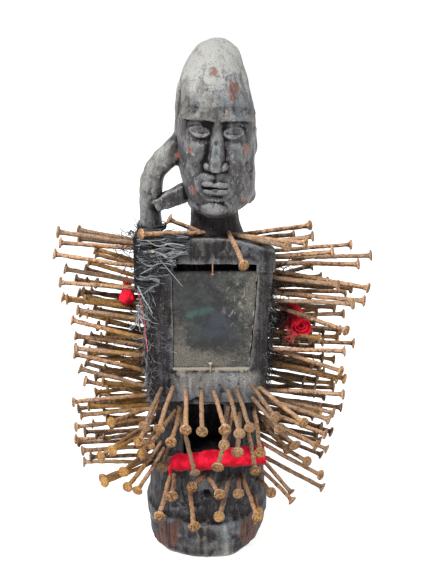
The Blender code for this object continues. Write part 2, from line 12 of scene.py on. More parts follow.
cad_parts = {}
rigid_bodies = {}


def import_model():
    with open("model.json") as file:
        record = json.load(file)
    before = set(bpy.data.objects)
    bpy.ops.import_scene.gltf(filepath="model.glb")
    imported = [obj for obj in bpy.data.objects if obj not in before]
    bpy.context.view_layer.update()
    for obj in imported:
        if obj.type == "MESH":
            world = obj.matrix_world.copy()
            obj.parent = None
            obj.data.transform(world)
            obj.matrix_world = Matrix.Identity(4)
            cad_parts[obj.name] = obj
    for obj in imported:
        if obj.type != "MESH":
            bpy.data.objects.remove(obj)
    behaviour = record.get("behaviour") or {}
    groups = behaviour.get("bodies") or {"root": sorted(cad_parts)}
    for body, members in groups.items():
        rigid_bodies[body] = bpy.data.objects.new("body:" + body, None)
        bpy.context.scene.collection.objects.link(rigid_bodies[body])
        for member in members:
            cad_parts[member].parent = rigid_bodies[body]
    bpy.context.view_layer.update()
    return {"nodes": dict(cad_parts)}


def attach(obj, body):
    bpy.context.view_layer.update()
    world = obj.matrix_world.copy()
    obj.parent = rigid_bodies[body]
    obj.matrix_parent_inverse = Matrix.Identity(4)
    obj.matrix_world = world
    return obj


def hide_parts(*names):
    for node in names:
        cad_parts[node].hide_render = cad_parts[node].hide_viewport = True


for o in list(bpy.data.objects):
    bpy.data.objects.remove(o, do_unlink=True)

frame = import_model()
nodes = frame["nodes"]
scene = bpy.context.scene

# ---------------------------------------------------------------- front view
# The same view as the CAD's layout: u to the right and v down, a step of about a
# millimetre at the figure. It looks down a little.
EYE = Vector((0.0097, -0.970, 0.6104))
LOOK_DOWN = math.radians(19.0)
MID_U, MID_V, STEPS = 216.5, 288.5, 1000.0


def sight(u, v):
    across = Vector((1, 0, 0))
    ahead = Vector((0, math.cos(LOOK_DOWN), -math.sin(LOOK_DOWN)))
    up = Vector((0, math.sin(LOOK_DOWN), math.cos(LOOK_DOWN)))
    return (
        ahead + across * (u - MID_U) / STEPS - up * (v - MID_V) / STEPS
    ).normalized()


def at_depth(u, v, y):
    d = sight(u, v)
    return EYE + d * ((y - EYE.y) / d.y)


cam_data = bpy.data.cameras.new("camera")
cam_data.lens = STEPS / 577 * 36
cam_data.sensor_width = 36
cam_data.clip_start, cam_data.clip_end = 0.05, 200
camera = bpy.data.objects.new("camera", cam_data)
camera.location = EYE
camera.rotation_euler = (math.radians(90) - LOOK_DOWN, 0, 0)
scene.collection.objects.link(camera)
scene.camera = camera

# ---------------------------------------------------------------- red thread
THREAD_R = 0.0005
THREAD = [
    (137.6, 292.0, -0.0530),
    (139.4, 297.0, -0.0550),
    (141.0, 303.0, -0.0530),
    (142.3, 310.0, -0.0510),
    (144.5, 323.0, -0.0495),
    (145.8, 335.5, -0.0492),
    (147.0, 345.0, -0.0492),
    (147.7, 351.5, -0.0494),
]


def smooth_route(points, step):
    """Evenly spaced points on a smooth curve through points."""
    p = np.array([points[0], *points, points[-1]], float)
    fine = []
    for i in range(len(points) - 1):
        a, b, c, d = p[i : i + 4]
        for t in np.linspace(0, 1, 24, endpoint=False):
            fine.append(
                0.5
                * (
                    2 * b
                    + (c - a) * t
                    + (2 * a - 5 * b + 4 * c - d) * t**2
                    + (3 * b - a - 3 * c + d) * t**3
                )
            )
    fine.append(p[-1])
    fine = np.array(fine)
    run = np.concatenate([[0], np.cumsum(np.linalg.norm(np.diff(fine, axis=0), axis=1))])
    at = np.linspace(0, run[-1], int(run[-1] / step) + 1)
    return np.stack([np.interp(at, run, fine[:, k]) for k in range(3)], axis=1), run[-1]


# ---------------------------------------------------------------- noise
TABLE = np.random.default_rng(5).random((8, 32, 32, 32), dtype=np.float32) * 2 - 1


def noise(p, size, seed=0):
    """Smooth noise from -1 to 1 at points p, with lumps of a size in millimetres,
    one for all ways or one for each."""
    q = p / np.asarray(size, np.float32) + np.float32(seed * 7.31 + 100)
    i = np.floor(q).astype(np.int32)
    f = q - i
    f = f * f * (3 - 2 * f)
    t = TABLE[seed % 8]
    i0, i1 = i & 31, (i + 1) & 31
    x0, y0, z0 = i0[:, 0], i0[:, 1], i0[:, 2]
    x1, y1, z1 = i1[:, 0], i1[:, 1], i1[:, 2]
    fx, fy, fz = f[:, 0], f[:, 1], f[:, 2]
    a = t[x0, y0, z0] * (1 - fx) + t[x1, y0, z0] * fx
    b = t[x0, y1, z0] * (1 - fx) + t[x1, y1, z0] * fx
    c = t[x0, y0, z1] * (1 - fx) + t[x1, y0, z1] * fx
    d = t[x0, y1, z1] * (1 - fx) + t[x1, y1, z1] * fx
    a = a * (1 - fy) + b * fy
    c = c * (1 - fy) + d * fy
    return a * (1 - fz) + c * fz


def cells(p, size, seed=0):
    """Distances to the nearest and the second nearest of scattered points, with
    cells of about a size in millimetres, and a number for the nearest."""
    q = p / np.asarray(size, np.float32) + np.float32(200)
    base = np.floor(q).astype(np.int32)
    f1 = np.full(len(p), 9.0, np.float32)
    f2 = f1.copy()
    who = np.zeros(len(p), np.float32)
    for dx in (-1, 0, 1):
        for dy in (-1, 0, 1):
            for dz in (-1, 0, 1):
                c = base + np.array((dx, dy, dz), np.int32)
                k = c & 31
                at = c + 0.5 + 0.42 * np.stack(
                    [TABLE[(seed + j) % 8][k[:, 0], k[:, 1], k[:, 2]] for j in range(3)], 1
                )
                d = np.sqrt(((q - at) ** 2).sum(1))
                near = d < f1
                f2 = np.where(near, f1, np.minimum(f2, d))
                who = np.where(near, TABLE[(seed + 3) % 8][k[:, 0], k[:, 1], k[:, 2]], who)
                f1 = np.minimum(f1, d)
    return f1, f2, who


def cuts(p, size, seed, blend=0.22):
    """Flat chisel cuts: each scattered point has its own tilted plane, and they
    meet in soft ridges. Heights are in shares of a cell."""
    q = p / np.asarray(size, np.float32) + np.float32(150)
    base = np.floor(q).astype(np.int32)
    f1 = np.full(len(p), 9.0, np.float32)
    f2 = f1.copy()
    h1 = np.zeros(len(p), np.float32)
    h2 = h1.copy()
    for dx in (-1, 0, 1):
        for dy in (-1, 0, 1):
            for dz in (-1, 0, 1):
                c = base + np.array((dx, dy, dz), np.int32)
                k = c & 31
                own = [TABLE[(seed + j) % 8][k[:, 0], k[:, 1], k[:, 2]] for j in range(7)]
                off = q - (c + 0.5 + 0.42 * np.stack(own[:3], 1))
                d = np.sqrt((off**2).sum(1))
                h = 0.5 * own[3] + off[:, 0] * own[4] + off[:, 1] * own[5] + off[:, 2] * own[6]
                near = d < f1
                second = ~near & (d < f2)
                f2 = np.where(near, f1, np.where(second, d, f2))
                h2 = np.where(near, h1, np.where(second, h, h2))
                f1 = np.where(near, d, f1)
                h1 = np.where(near, h, h1)
    w = 0.5 + 0.5 * np.clip((f2 - f1) / blend, 0, 1)
    return h1 * w + h2 * (1 - w)


def smin(a, b, k):
    h = np.clip(0.5 + 0.5 * (b - a) / k, 0, 1)
    return b + (a - b) * h - k * h * (1 - h)


def smax(a, b, k):
    return -smin(-a, -b, k)


def step01(a, b, x):
    t = np.clip((x - a) / (b - a), 0, 1)
    return t * t * (3 - 2 * t)


def hump(x, middle, half):
    """1 at the middle, falling smoothly to 0 at half away."""
    t = np.clip(1 - np.abs(x - middle) / half, 0, 1)
    return t * t * (3 - 2 * t)


# ---------------------------------------------------------------- carved body
# The CAD's named sizes, in millimetres.
BASE_W, BASE_D, BASE_TOP = 63.0, 70.0, 41.0
LEGS = [
    (34.0, 61.0, 60.0),
    (55.0, 62.5, 60.0),
    (80.0, 60.0, 56.0),
    (110.0, 56.0, 50.0),
    (140.0, 55.0, 46.0),
    (178.0, 57.0, 43.0),
]
FRONT, BACK = -46.0, 44.0
CHEST_BOTTOM, CHEST_STEP, CHEST_TOP, COLLAR = 170.0, 309.0, 331.5, 343.5
CHEST_W_LOW, CHEST_W_STEP, CHEST_W_HIGH, ROOF_FALL = 60.0, 65.0, 67.2, 0.22
BOX_L, BOX_R, BOX_LOW, BOX_HIGH, BOX_BACK = -30.0, 39.5, 212.0, 317.2, -14.0
SLOT_L, SLOT_R, REBATE, COVER_T, CLEAR = -32.5, 49.0, 5.5, 4.6, 0.3
COVER_L, COVER_R_TOP, COVER_R_LOW, COVER_LOW, COVER_HIGH = -33.5, 50.0, 43.0, 208.5, 309.0
NECK = [
    (300.0, 11.0, 30.0, 33.0),
    (336.0, 10.0, 27.5, 32.0),
    (345.0, 8.5, 24.0, 27.5),
    (360.0, 8.0, 23.5, 25.5),
    (395.0, 8.0, 22.5, 25.5),
]
HEAD_LOW, HEIGHT, FACE_X, HEAD_TURN = 362.5, 527.0, 9.8, math.radians(2.5)
HEAD = [
    (362.5, 15.0, -46.5, -10.0, 11.5),
    (366.5, 21.8, -49.5, 2.0, 11.9),
    (373.0, 29.3, -50.0, 16.0, 14.0),
    (383.0, 34.9, -49.5, 30.0, 15.0),
    (395.0, 36.8, -48.5, 37.5, 13.4),
    (410.0, 38.4, -47.5, 41.5, 11.2),
    (430.0, 39.2, -46.5, 43.0, 9.8),
    (448.0, 39.2, -46.0, 43.5, 8.8),
    (456.0, 38.8, -49.0, 43.5, 8.2),
    (470.0, 36.8, -47.5, 42.8, 6.8),
    (484.0, 33.8, -44.0, 41.0, 5.6),
    (498.0, 29.6, -38.0, 37.0, 4.8),
    (510.0, 24.6, -30.5, 31.0, 5.8),
    (518.5, 19.0, -23.0, 24.5, 6.6),
    (524.0, 12.5, -14.5, 16.5, 7.2),
    (527.0, 5.5, -6.0, 8.0, 7.5),
]
EYE_LINE = (HEAD_LOW + HEIGHT) / 2
BROW = EYE_LINE + 10.5
NOSE_BASE = (BROW + HEAD_LOW) / 2
MOUTH = NOSE_BASE - (NOSE_BASE - HEAD_LOW) / 3
EYE_W = 15.6
ARM = [
    (-54.5, 0.0, 314.0, 11.8, 15.0),
    (-55.6, 0.0, 348.0, 10.8, 13.5),
    (-56.0, -1.0, 370.0, 10.6, 12.8),
    (-54.5, -2.0, 390.0, 10.6, 12.5),
    (-50.2, -3.0, 402.0, 10.0, 12.5),
    (-41.0, -4.0, 412.6, 11.2, 12.0),
    (-25.5, -5.0, 424.0, 13.5, 11.0),
]


def curve_table(rows, soften=5.0):
    """Columns of rows against their first, softened where they bend."""
    rows = np.array(rows, float)
    z = np.arange(rows[0, 0], rows[-1, 0] + 0.25, 0.5)
    out = []
    for k in range(1, rows.shape[1]):
        v = np.interp(z, rows[:, 0], rows[:, k])
        n = int(soften / 0.5)
        for _ in range(2):
            pad = np.concatenate(
                [2 * v[0] - v[n:0:-1], v, 2 * v[-1] - v[-2 : -n - 2 : -1]]
            )
            v = np.convolve(pad, np.ones(2 * n + 1) / (2 * n + 1), "valid")
        out.append(v)
    return z, out


LEG_T, NECK_T, HEAD_T = curve_table(LEGS), curve_table(NECK), curve_table(HEAD, 2.5)


def read(table, column, z):
    return np.interp(z, table[0], table[1][column]).astype(np.float32)


def oval(x, y, a, b, power):
    """Roughly how far (x, y) is outside a superellipse."""
    s = (np.abs(x / a) ** power + np.abs(y / b) ** power) ** (1 / power)
    return np.hypot(x, y) * (1 - 1 / np.maximum(s, 0.02))


def block(x, y, z, x0, x1, y0, y1, z0, z1, r=0.0):
    dx = np.maximum(x0 - x, x - x1) + r
    dy = np.maximum(y0 - y, y - y1) + r
    dz = np.maximum(z0 - z, z - z1) + r
    out = np.sqrt(
        np.maximum(dx, 0) ** 2 + np.maximum(dy, 0) ** 2 + np.maximum(dz, 0) ** 2
    )
    return out + np.minimum(np.maximum(dx, np.maximum(dy, dz)), 0) - r


def ball(x, y, z, at, size):
    q = np.sqrt(
        ((x - at[0]) / size[0]) ** 2
        + ((y - at[1]) / size[1]) ** 2
        + ((z - at[2]) / size[2]) ** 2
    )
    return (q - 1) * min(size)


def face_relief(u, z, side):
    """How far the face stands out from the plain head, in millimetres, u from its
    middle. It is a plain carved face on the usual canon."""
    a = np.abs(u)
    h = np.zeros_like(u)
    # broad planes: cheekbones, the muzzle and the chin
    h += 2.2 * np.clip(1 - ((a - 23) / 13) ** 2 - ((z - 428) / 15) ** 2, 0, 1) ** 0.8
    h += 4.2 * np.clip(1 - (u / 21) ** 2 - ((z - (MOUTH + 1)) / 15) ** 2, 0, 1) ** 0.7
    h += 3.6 * np.clip(1 - (u / 14) ** 2 - ((z - 371.5) / 7.5) ** 2, 0, 1) ** 0.7
    h -= 1.6 * np.clip(1 - ((a - 27) / 9) ** 2 - ((z - 399) / 18) ** 2, 0, 1)
    # sockets under the brow, deepest under its edge
    line = BROW - 1.2 + 1.8 * np.cos(np.clip((a - 16) / 17, -1, 1) * np.pi / 2)
    inside = np.clip(1 - ((a - 17) / 15.5) ** 2, 0, 1) ** 0.5
    depth = step01(line + 0.8, line - 1.6, z) * step01(line - 26, line - 5, z)
    socket = 7.6 * inside * depth
    h -= socket
    # the brow itself, a cut ridge
    ridge = step01(line - 1.4, line + 1.2, z) * step01(line + 13.0, line + 2.0, z)
    h += 3.2 * ridge * np.clip(1 - ((a - 15) / 22) ** 2, 0, 1) ** 0.6
    # eyes: a full almond with rims round a nearly closed lid
    lift = 0.02 * (a - EYE_W)
    ex, ez = (a - EYE_W) / 9.4, (z - EYE_LINE - lift * 4) / 5.3
    almond = np.abs(ex) ** 2.0 + np.abs(ez) ** 1.5
    h += 5.8 * np.clip(1.25 - almond, 0, 1) ** 0.40 * (almond < 1.25)
    rim = hump(almond, 0.84, 0.30)
    h += 1.3 * rim
    slit_half = 6.8
    bend = -0.9 * (1 - np.clip(((a - EYE_W) / slit_half) ** 2, 0, 1))
    slit = hump(z, EYE_LINE - 0.2 + bend, 1.25) * step01(
        slit_half + 0.8, slit_half - 1.2, np.abs(a - EYE_W)
    )
    h -= 3.0 * slit
    # nose: a straight ridge that widens to the wings
    down = np.clip((BROW + 3 - z) / (BROW + 3 - NOSE_BASE), 0, 1)
    high = 1.2 + 11.0 * down**1.15
    flat = 2.0 + 2.2 * down
    slope = 2.4 + 3.4 * down
    bridge = high * np.clip(1 - (a - flat) / slope, 0, 1) ** 0.8
    wing = 8.6 * np.clip(
        1 - ((a - 7.4) / 4.4) ** 2 - ((z - NOSE_BASE - 4.6) / 5.0) ** 2, 0, 1
    ) ** 0.55
    nose = np.maximum(bridge, wing) * step01(NOSE_BASE - 1.2, NOSE_BASE + 0.9, z)
    nose *= step01(BROW + 6, BROW - 2, z)
    h = np.maximum(h, nose + 0.25 * h)
    # nostrils, cut up into the base of the nose
    h -= 3.2 * np.clip(
        1 - ((a - 5.6) / 2.3) ** 2 - ((z - NOSE_BASE - 0.6) / 1.7) ** 2, 0, 1
    )
    # groove under the nose, then full lips round a plain line
    h -= 0.9 * hump(u, 0, 2.6) * step01(MOUTH + 5.5, MOUTH + 8, z) * (z < NOSE_BASE)
    upper = np.clip(
        1 - (u / 14.0) ** 2 - ((z - MOUTH - 3.1 + 0.9 * hump(u, 0, 4)) / 3.7) ** 2, 0, 1
    )
    lower = np.clip(1 - (u / 12.6) ** 2 - ((z - MOUTH + 3.5) / 3.8) ** 2, 0, 1)
    h += 2.9 * upper**0.45 + 2.8 * lower**0.45
    h -= 2.7 * hump(z, MOUTH - 0.1 + 0.4 * np.cos(u / 4.0), 1.3) * step01(12.6, 10.8, a)
    h -= 1.5 * hump(z, MOUTH - 9.0, 3.2) * step01(13, 6, a)
    return h


def carved(p):
    """How far points p, in millimetres, are outside the carved wood."""
    p = p.astype(np.float32)
    wob = noise(p, 46, 1)
    x = p[:, 0] + 0.55 * wob
    y = p[:, 1] + 0.55 * noise(p, 52, 2)
    z = p[:, 2]
    bite = noise(p, (13, 13, 9), 3)

    # base
    inset = 4.6 * np.clip(1 - z / 3.0, 0, 1) ** 2 + 1.3 * np.clip(1 - z / 14, 0, 1)
    inset = inset * (1 + 0.8 * bite)
    inset += 6 * np.clip(1 - z / 24, 0, 1) ** 1.4 * step01(18, 48, x) * step01(20, -20, y)
    inset -= 2.4 * step01(-30, -55, x) * hump(z, 44, 36)
    base = oval(x, y, BASE_W, BASE_D, 2.25) + inset
    rim = BASE_TOP + 0.9 * noise(p, (16, 16, 40), 4)
    d = smax(base, z - rim, 3.0 + bite)

    # hips and legs
    legs = oval(x, y, read(LEG_T, 0, z), read(LEG_T, 1, z), 2.7)
    legs = np.maximum(legs, np.maximum(34 - z, z - 182))
    d = smin(d, legs, 11)
    t = np.clip((z - 36) / 70, 0, 1)
    boss = oval(x - 6 * t, y + 40 - 6 * t, 21 - 6 * t, 20 - 8 * t, 2.6)
    boss = smax(boss, np.maximum(36 - z, z - 106), 3)
    d = smin(d, boss, 6)

    # chest: worn edges, a step near the top, shoulders that fall to the back
    share = (z - CHEST_BOTTOM) / (CHEST_STEP - CHEST_BOTTOM)
    half = CHEST_W_LOW + (CHEST_W_STEP - CHEST_W_LOW) * share
    over = step01(CHEST_STEP - 0.6, CHEST_STEP + 0.6, z)
    half = np.where(z > CHEST_STEP, CHEST_W_STEP, half) + over * (
        CHEST_W_HIGH - CHEST_W_STEP
    )
    side = np.abs(x) - half + 0.7 * np.clip(noise(p, (18, 14, 30), 5), 0, 1)
    face = FRONT - 1.2 * over - y
    worn = 3.2 + 2.2 * noise(p, (30, 30, 15), 6)
    chest = smax(side, face, worn)
    chest = smax(chest, y - BACK, 9)
    fall = z + ROOF_FALL * (y - FRONT)
    roof = smax(fall - COLLAR, (fall - CHEST_TOP - (67.2 - x) * 0.254) / 1.03, 3)
    roof = smax(roof, (fall - CHEST_TOP - (44 - y) * 0.545) / 1.14, 4)
    roof = smax(roof, (fall - CHEST_TOP - (67.2 + x) * 3.75) / 3.9, 4)
    corner = (np.abs(x) + y - (CHEST_W_HIGH + BACK - 13)) * 0.707
    corner = corner - 14 * (1 - step01(215, 300, z))
    chest = smax(chest, corner, 6)
    chest = smax(chest, roof, 3 + 1.2 * bite)
    lower = CHEST_BOTTOM + 6 * hump(x, -10, 10) * (y < 0) + 0.9 * bite
    chest = smax(chest, lower - z, 1.4)
    d = smin(d, chest, 1.0)

    # neck
    nx = read(NECK_T, 0, z)
    neck = oval(x - nx, y, read(NECK_T, 1, z), read(NECK_T, 2, z), 2.2)
    neck = np.maximum(neck, np.maximum(300 - z, z - 392))
    d = smin(d, neck, 5)

    # head, leant a little to its own left
    c, s = math.cos(HEAD_TURN), math.sin(HEAD_TURN)
    rx, rz = x - FACE_X, z - EYE_LINE
    hx, hz = rx * c - rz * s + FACE_X, rx * s + rz * c + EYE_LINE
    half = read(HEAD_T, 0, hz)
    front, back = read(HEAD_T, 1, hz), read(HEAD_T, 2, hz)
    mid = read(HEAD_T, 3, hz)
    deep = (back - front) / 2
    head = oval(hx - mid, y - (front + back) / 2, half, deep, 2.35)
    u = hx - FACE_X
    # the relief acts on the front only
    facing = step01(2, -20, y - (front + back) / 2) * step01(38, 27, np.abs(u))
    relief = face_relief(u, hz, 0) * facing
    head = head - relief * np.where(np.abs(relief) > 5, 0.96, 1)
    for way in (-1, 1):
        ear = ball(hx, y, hz, (FACE_X + way * 37.0, 7.0, 430.0), (4.6, 9.0, 13.5))
        ear = smax(
            ear,
            -ball(hx, y, hz, (FACE_X + way * 41.5, 5.5, 431.0), (4.2, 5.6, 8.8)),
            1.4,
        )
        ear = smax(ear, -4.0 - y, 1.5)
        head = smin(head, ear, 2.5)
    head = smax(head, hz - HEIGHT + 0.4, 3.5)
    head = smax(head, HEAD_LOW - hz, 6)
    lump = ball(hx, y, hz, (FACE_X + 35.0, -12.0, 379.0), (6.5, 8.0, 7.5))
    head = smin(head, lump, 3)
    d = smin(d, head, 3.0)

    # raised arm and the block that props it
    arm = np.full_like(x, 1e3)
    for (x0, y0, z0, a0, b0), (x1, y1, z1, a1, b1) in zip(ARM, ARM[1:]):
        ax, az = x1 - x0, z1 - z0
        long = math.hypot(ax, az)
        t = np.clip(((x - x0) * ax + (z - z0) * az) / long**2, 0, 1)
        away = np.hypot(x - x0 - t * ax, z - z0 - t * az)
        part = oval(
            away, y - (y0 + (y1 - y0) * t), a0 + (a1 - a0) * t, b0 + (b1 - b0) * t, 2.6
        )
        arm = smin(arm, part, 1.5)
    d = smin(d, arm, 4.5)
    c, s = math.cos(math.radians(23)), math.sin(math.radians(23))
    bx, bz = x + 37.0, z - 372.0
    along, over = bx * c + bz * s, -bx * s + bz * c
    over = over / (1 + 0.012 * np.clip(along, -15, 19)) + 0.4 * bite
    prop = block(along, y + 6, over, -15, 19, -9.5, 8.5, -7.3, 7.3, 1.4)
    d = smin(d, prop, 1.4)

    # cuts: between the legs, behind, the small hollow, the box, slot and rebate
    top = 166 + 1.5 * bite
    gap = block(x + 0.7 * bite, y, z, -25, 18, -90, 6, 103, 300, 3)
    gap = smax(gap, z - top, 3)
    d = smax(d, -gap, 2.0)
    channel = block(x, y, z, -11, 9, 36, 90, 60, 158, 3)
    d = smax(d, -channel, 3.0)
    hollow = ball(x, y, z, (-1.0 + 0.8 * bite, -66.0, 71.5), (6.6, 13.0, 5.4))
    d = smax(d, -hollow, 2.2)
    chip = 0.5 * noise(p, (7, 7, 7), 7)
    box = block(x, y, z, BOX_L, BOX_R, -90, BOX_BACK, BOX_LOW, BOX_HIGH, 0.8)
    d = np.maximum(d, -box)
    slot = block(x, y, z + chip, SLOT_L, SLOT_R, -90, FRONT + 20, COVER_HIGH - 3, BOX_HIGH, 0.6)
    d = smax(d, -slot, 0.8)
    right = COVER_R_LOW + (COVER_R_TOP - COVER_R_LOW) * (z - COVER_LOW) / (
        COVER_HIGH - COVER_LOW
    )
    rebate = np.maximum(
        np.maximum(COVER_L - CLEAR - x, x - right - CLEAR - 0.5 * np.abs(chip)),
        np.maximum(COVER_LOW - CLEAR - z, z - COVER_HIGH - CLEAR),
    )
    rebate = np.maximum(rebate, y - FRONT - REBATE)
    d = smax(d, -rebate, 0.7)
    return np.maximum(d, -z)


def net(f, low, high, step):
    """A closed mesh of quads on f's zero surface, f in millimetres."""
    low = np.array(low, float)
    n = (np.ceil((np.array(high) - low) / (2 * step)).astype(int)) * 2 + 1
    half = [np.arange(0, k, 2) for k in n]
    grid = np.stack(np.meshgrid(*half, indexing="ij"), -1).reshape(-1, 3)
    coarse = np.empty(len(grid), np.float32)
    for i in range(0, len(grid), 400000):
        coarse[i : i + 400000] = f(low + grid[i : i + 400000] * step)
    coarse = coarse.reshape([len(k) for k in half])
    fine = np.empty(n, np.float32)
    fine[::2, ::2, ::2] = coarse
    fine[1::2, ::2, ::2] = (coarse[:-1] + coarse[1:]) / 2
    fine[:, 1::2, ::2] = (fine[:, :-1:2, ::2] + fine[:, 2::2, ::2]) / 2
    fine[:, :, 1::2] = (fine[:, :, :-1:2] + fine[:, :, 2::2]) / 2
    near = np.argwhere(np.abs(fine) < 3.2 * step)
    values = np.empty(len(near), np.float32)
    for i in range(0, len(near), 400000):
        values[i : i + 400000] = f(low + near[i : i + 400000] * step)
    fine[near[:, 0], near[:, 1], near[:, 2]] = values
    inside = fine < 0
    corner = [(i, j, k) for i in (0, 1) for j in (0, 1) for k in (0, 1)]
    count = np.zeros(n - 1, np.int8)
    for i, j, k in corner:
        count += inside[i : n[0] - 1 + i, j : n[1] - 1 + j, k : n[2] - 1 + k]
    cell = np.argwhere((count > 0) & (count < 8))
    total = np.zeros((len(cell), 3))
    hits = np.zeros(len(cell))
    for a in corner:
        for axis in range(3):
            if a[axis]:
                continue
            b = list(a)
            b[axis] = 1
            pa, pb = cell + a, cell + b
            fa = fine[pa[:, 0], pa[:, 1], pa[:, 2]]
            fb = fine[pb[:, 0], pb[:, 1], pb[:, 2]]
            cross = (fa < 0) != (fb < 0)
            t = np.where(cross, fa / np.where(cross, fa - fb, 1), 0)
            total += np.where(cross[:, None], pa + t[:, None] * (pb - pa), 0)
            hits += cross
    verts = low + total / hits[:, None] * step
    index = np.full(n - 1, -1, np.int32)
    index[cell[:, 0], cell[:, 1], cell[:, 2]] = np.arange(len(cell))
    quads = []
    for axis in range(3):
        b, c = (axis + 1) % 3, (axis + 2) % 3
        lead = [slice(None)] * 3
        trail = [slice(None)] * 3
        lead[axis], trail[axis] = slice(0, -1), slice(1, None)
        first, second = inside[tuple(lead)], inside[tuple(trail)]
        edge = np.argwhere(first != second)
        edge = edge[(edge[:, b] > 0) & (edge[:, c] > 0)]
        edge = edge[(edge[:, b] < n[b] - 1) & (edge[:, c] < n[c] - 1)]
        out = first[edge[:, 0], edge[:, 1], edge[:, 2]]
        ring = []
        for db, dc in ((-1, -1), (0, -1), (0, 0), (-1, 0)):
            at = edge.copy()
            at[:, b] += db
            at[:, c] += dc
            ring.append(index[at[:, 0], at[:, 1], at[:, 2]])
        ring = np.stack(ring, 1)
        quads.append(np.where(out[:, None], ring, ring[:, ::-1]))
    return verts, np.concatenate(quads)


def slope_of(f, p, reach=0.35):
    g = np.empty_like(p)
    for k in range(3):
        off = np.zeros(3)
        off[k] = reach
        g[:, k] = (f(p + off) - f(p - off)) / (2 * reach)
    return g


def make_mesh(name, verts, faces):
    mesh = bpy.data.meshes.new(name)
    mesh.from_pydata(np.asarray(verts, float), [], np.asarray(faces).tolist())
    mesh.validate()
    mesh.update()
    return mesh


def piece(name, mesh, mat, stands_for=()):
    ob = bpy.data.objects.new(name, mesh)
    scene.collection.objects.link(ob)
    mesh.materials.clear()
    mesh.materials.append(mat)
    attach(ob, "root")
    if stands_for:
        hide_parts(*stands_for)
    return ob


def field(mesh, name, values):
    a = mesh.attributes.get(name) or mesh.attributes.new(name, "FLOAT", "POINT")
    a.data.foreach_set("value", np.asarray(values, np.float32))


def coords(mesh):
    co = np.empty(len(mesh.vertices) * 3, np.float32)
    mesh.vertices.foreach_get("co", co)
    return co.reshape(-1, 3)


def normals(mesh):
    no = np.empty(len(mesh.vertices) * 3, np.float32)
    mesh.vertices.foreach_get("normal", no)
    return no.reshape(-1, 3)


def neighbours_mean(mesh, values):
    """The mean over the vertices joined to each by an edge."""
    e = np.empty(len(mesh.edges) * 2, np.int32)
    mesh.edges.foreach_get("vertices", e)
    e = e.reshape(-1, 2)
    n = len(mesh.vertices)
    a, b = np.concatenate([e[:, 0], e[:, 1]]), np.concatenate([e[:, 1], e[:, 0]])
    count = np.maximum(np.bincount(a, minlength=n), 1)
    values = np.asarray(values, float)
    if values.ndim == 1:
        return np.bincount(a, values[b], n) / count
    return np.stack(
        [np.bincount(a, values[b, k], n) / count for k in range(values.shape[1])], 1
    )


def carve_detail(p, n):
    """Fine relief along the skin: chisel facets, grain, pits and cracks."""
    z = p[:, 2]
    on_head = step01(352, 366, z)
    on_base = 1 - step01(36, 60, z)
    facet = cuts(p, (19, 19, 27), 1)
    small = cuts(p, (8, 8, 13), 4)
    grain = noise(p, (2.6, 2.6, 34), 5) * 0.5 + noise(p, (5.5, 5.5, 60), 6) * 0.6
    pits = -np.clip(noise(p, (3.2, 3.2, 4.5), 3) - 0.42, 0, 1) * 1.6 * (1 - 0.8 * on_base)
    move = on_head * (1.5 * facet + 0.55 * small + 0.12 * grain)
    move += (1 - on_head) * (0.6 * facet + 0.3 * small + 0.38 * grain)
    move += 0.35 * on_base * noise(p, (4, 4, 30), 2)
    move += 0.5 * pits
    # a few long drying cracks that follow the grain
    cracks = noise(p, (9, 9, 120), 7) + 0.08 * noise(p, (3, 3, 8), 1)
    line = np.clip(1 - np.abs(cracks) / 0.035, 0, 1)
    where = step01(0.15, 0.4, noise(p, (25, 25, 60), 2)) * (1 - 0.75 * on_head)
    where = where * (1 - 0.9 * on_base)
    move -= 1.1 * line * where
    # the flat underside stays flat
    move *= step01(0.3, 3.0, z)
    return move, line * where


STEP = 1.15


def build_body():
    verts, quads = net(carved, (-75, -76, -3), (77, 76, 532), STEP)
    g = slope_of(carved, verts)
    size = np.maximum((g**2).sum(1), 0.35)
    verts = verts - np.clip(carved(verts)[:, None] / size[:, None], -0.8, 0.8) * g
    verts[:, 2] = np.maximum(verts[:, 2], 0)
    mesh = make_mesh("carved_body", verts / 1000, quads)
    n = normals(mesh)
    move, _ = carve_detail(verts.astype(np.float32), n)
    verts = verts + n * move[:, None]
    verts[:, 2] = np.maximum(verts[:, 2], 0)
    mesh.vertices.foreach_set("co", (verts / 1000).astype(np.float32).ravel())
    mesh.update()
    ob = bpy.data.objects.new("carved_body", mesh)
    scene.collection.objects.link(ob)
    faces = len(mesh.polygons) * 2
    if faces > 190000:
        mod = ob.modifiers.new("lighter", "DECIMATE")
        mod.ratio = 188000 / faces
        dg = bpy.context.evaluated_depsgraph_get()
        light = bpy.data.meshes.new_from_object(ob.evaluated_get(dg))
        ob.modifiers.clear()
        ob.data = light
        bpy.data.meshes.remove(mesh)
        light.name = "carved_body"
        mesh = light
    mesh.shade_smooth()
    bpy.data.objects.remove(ob)
    return mesh


body_mesh = build_body()
print("body faces", len(body_mesh.polygons))


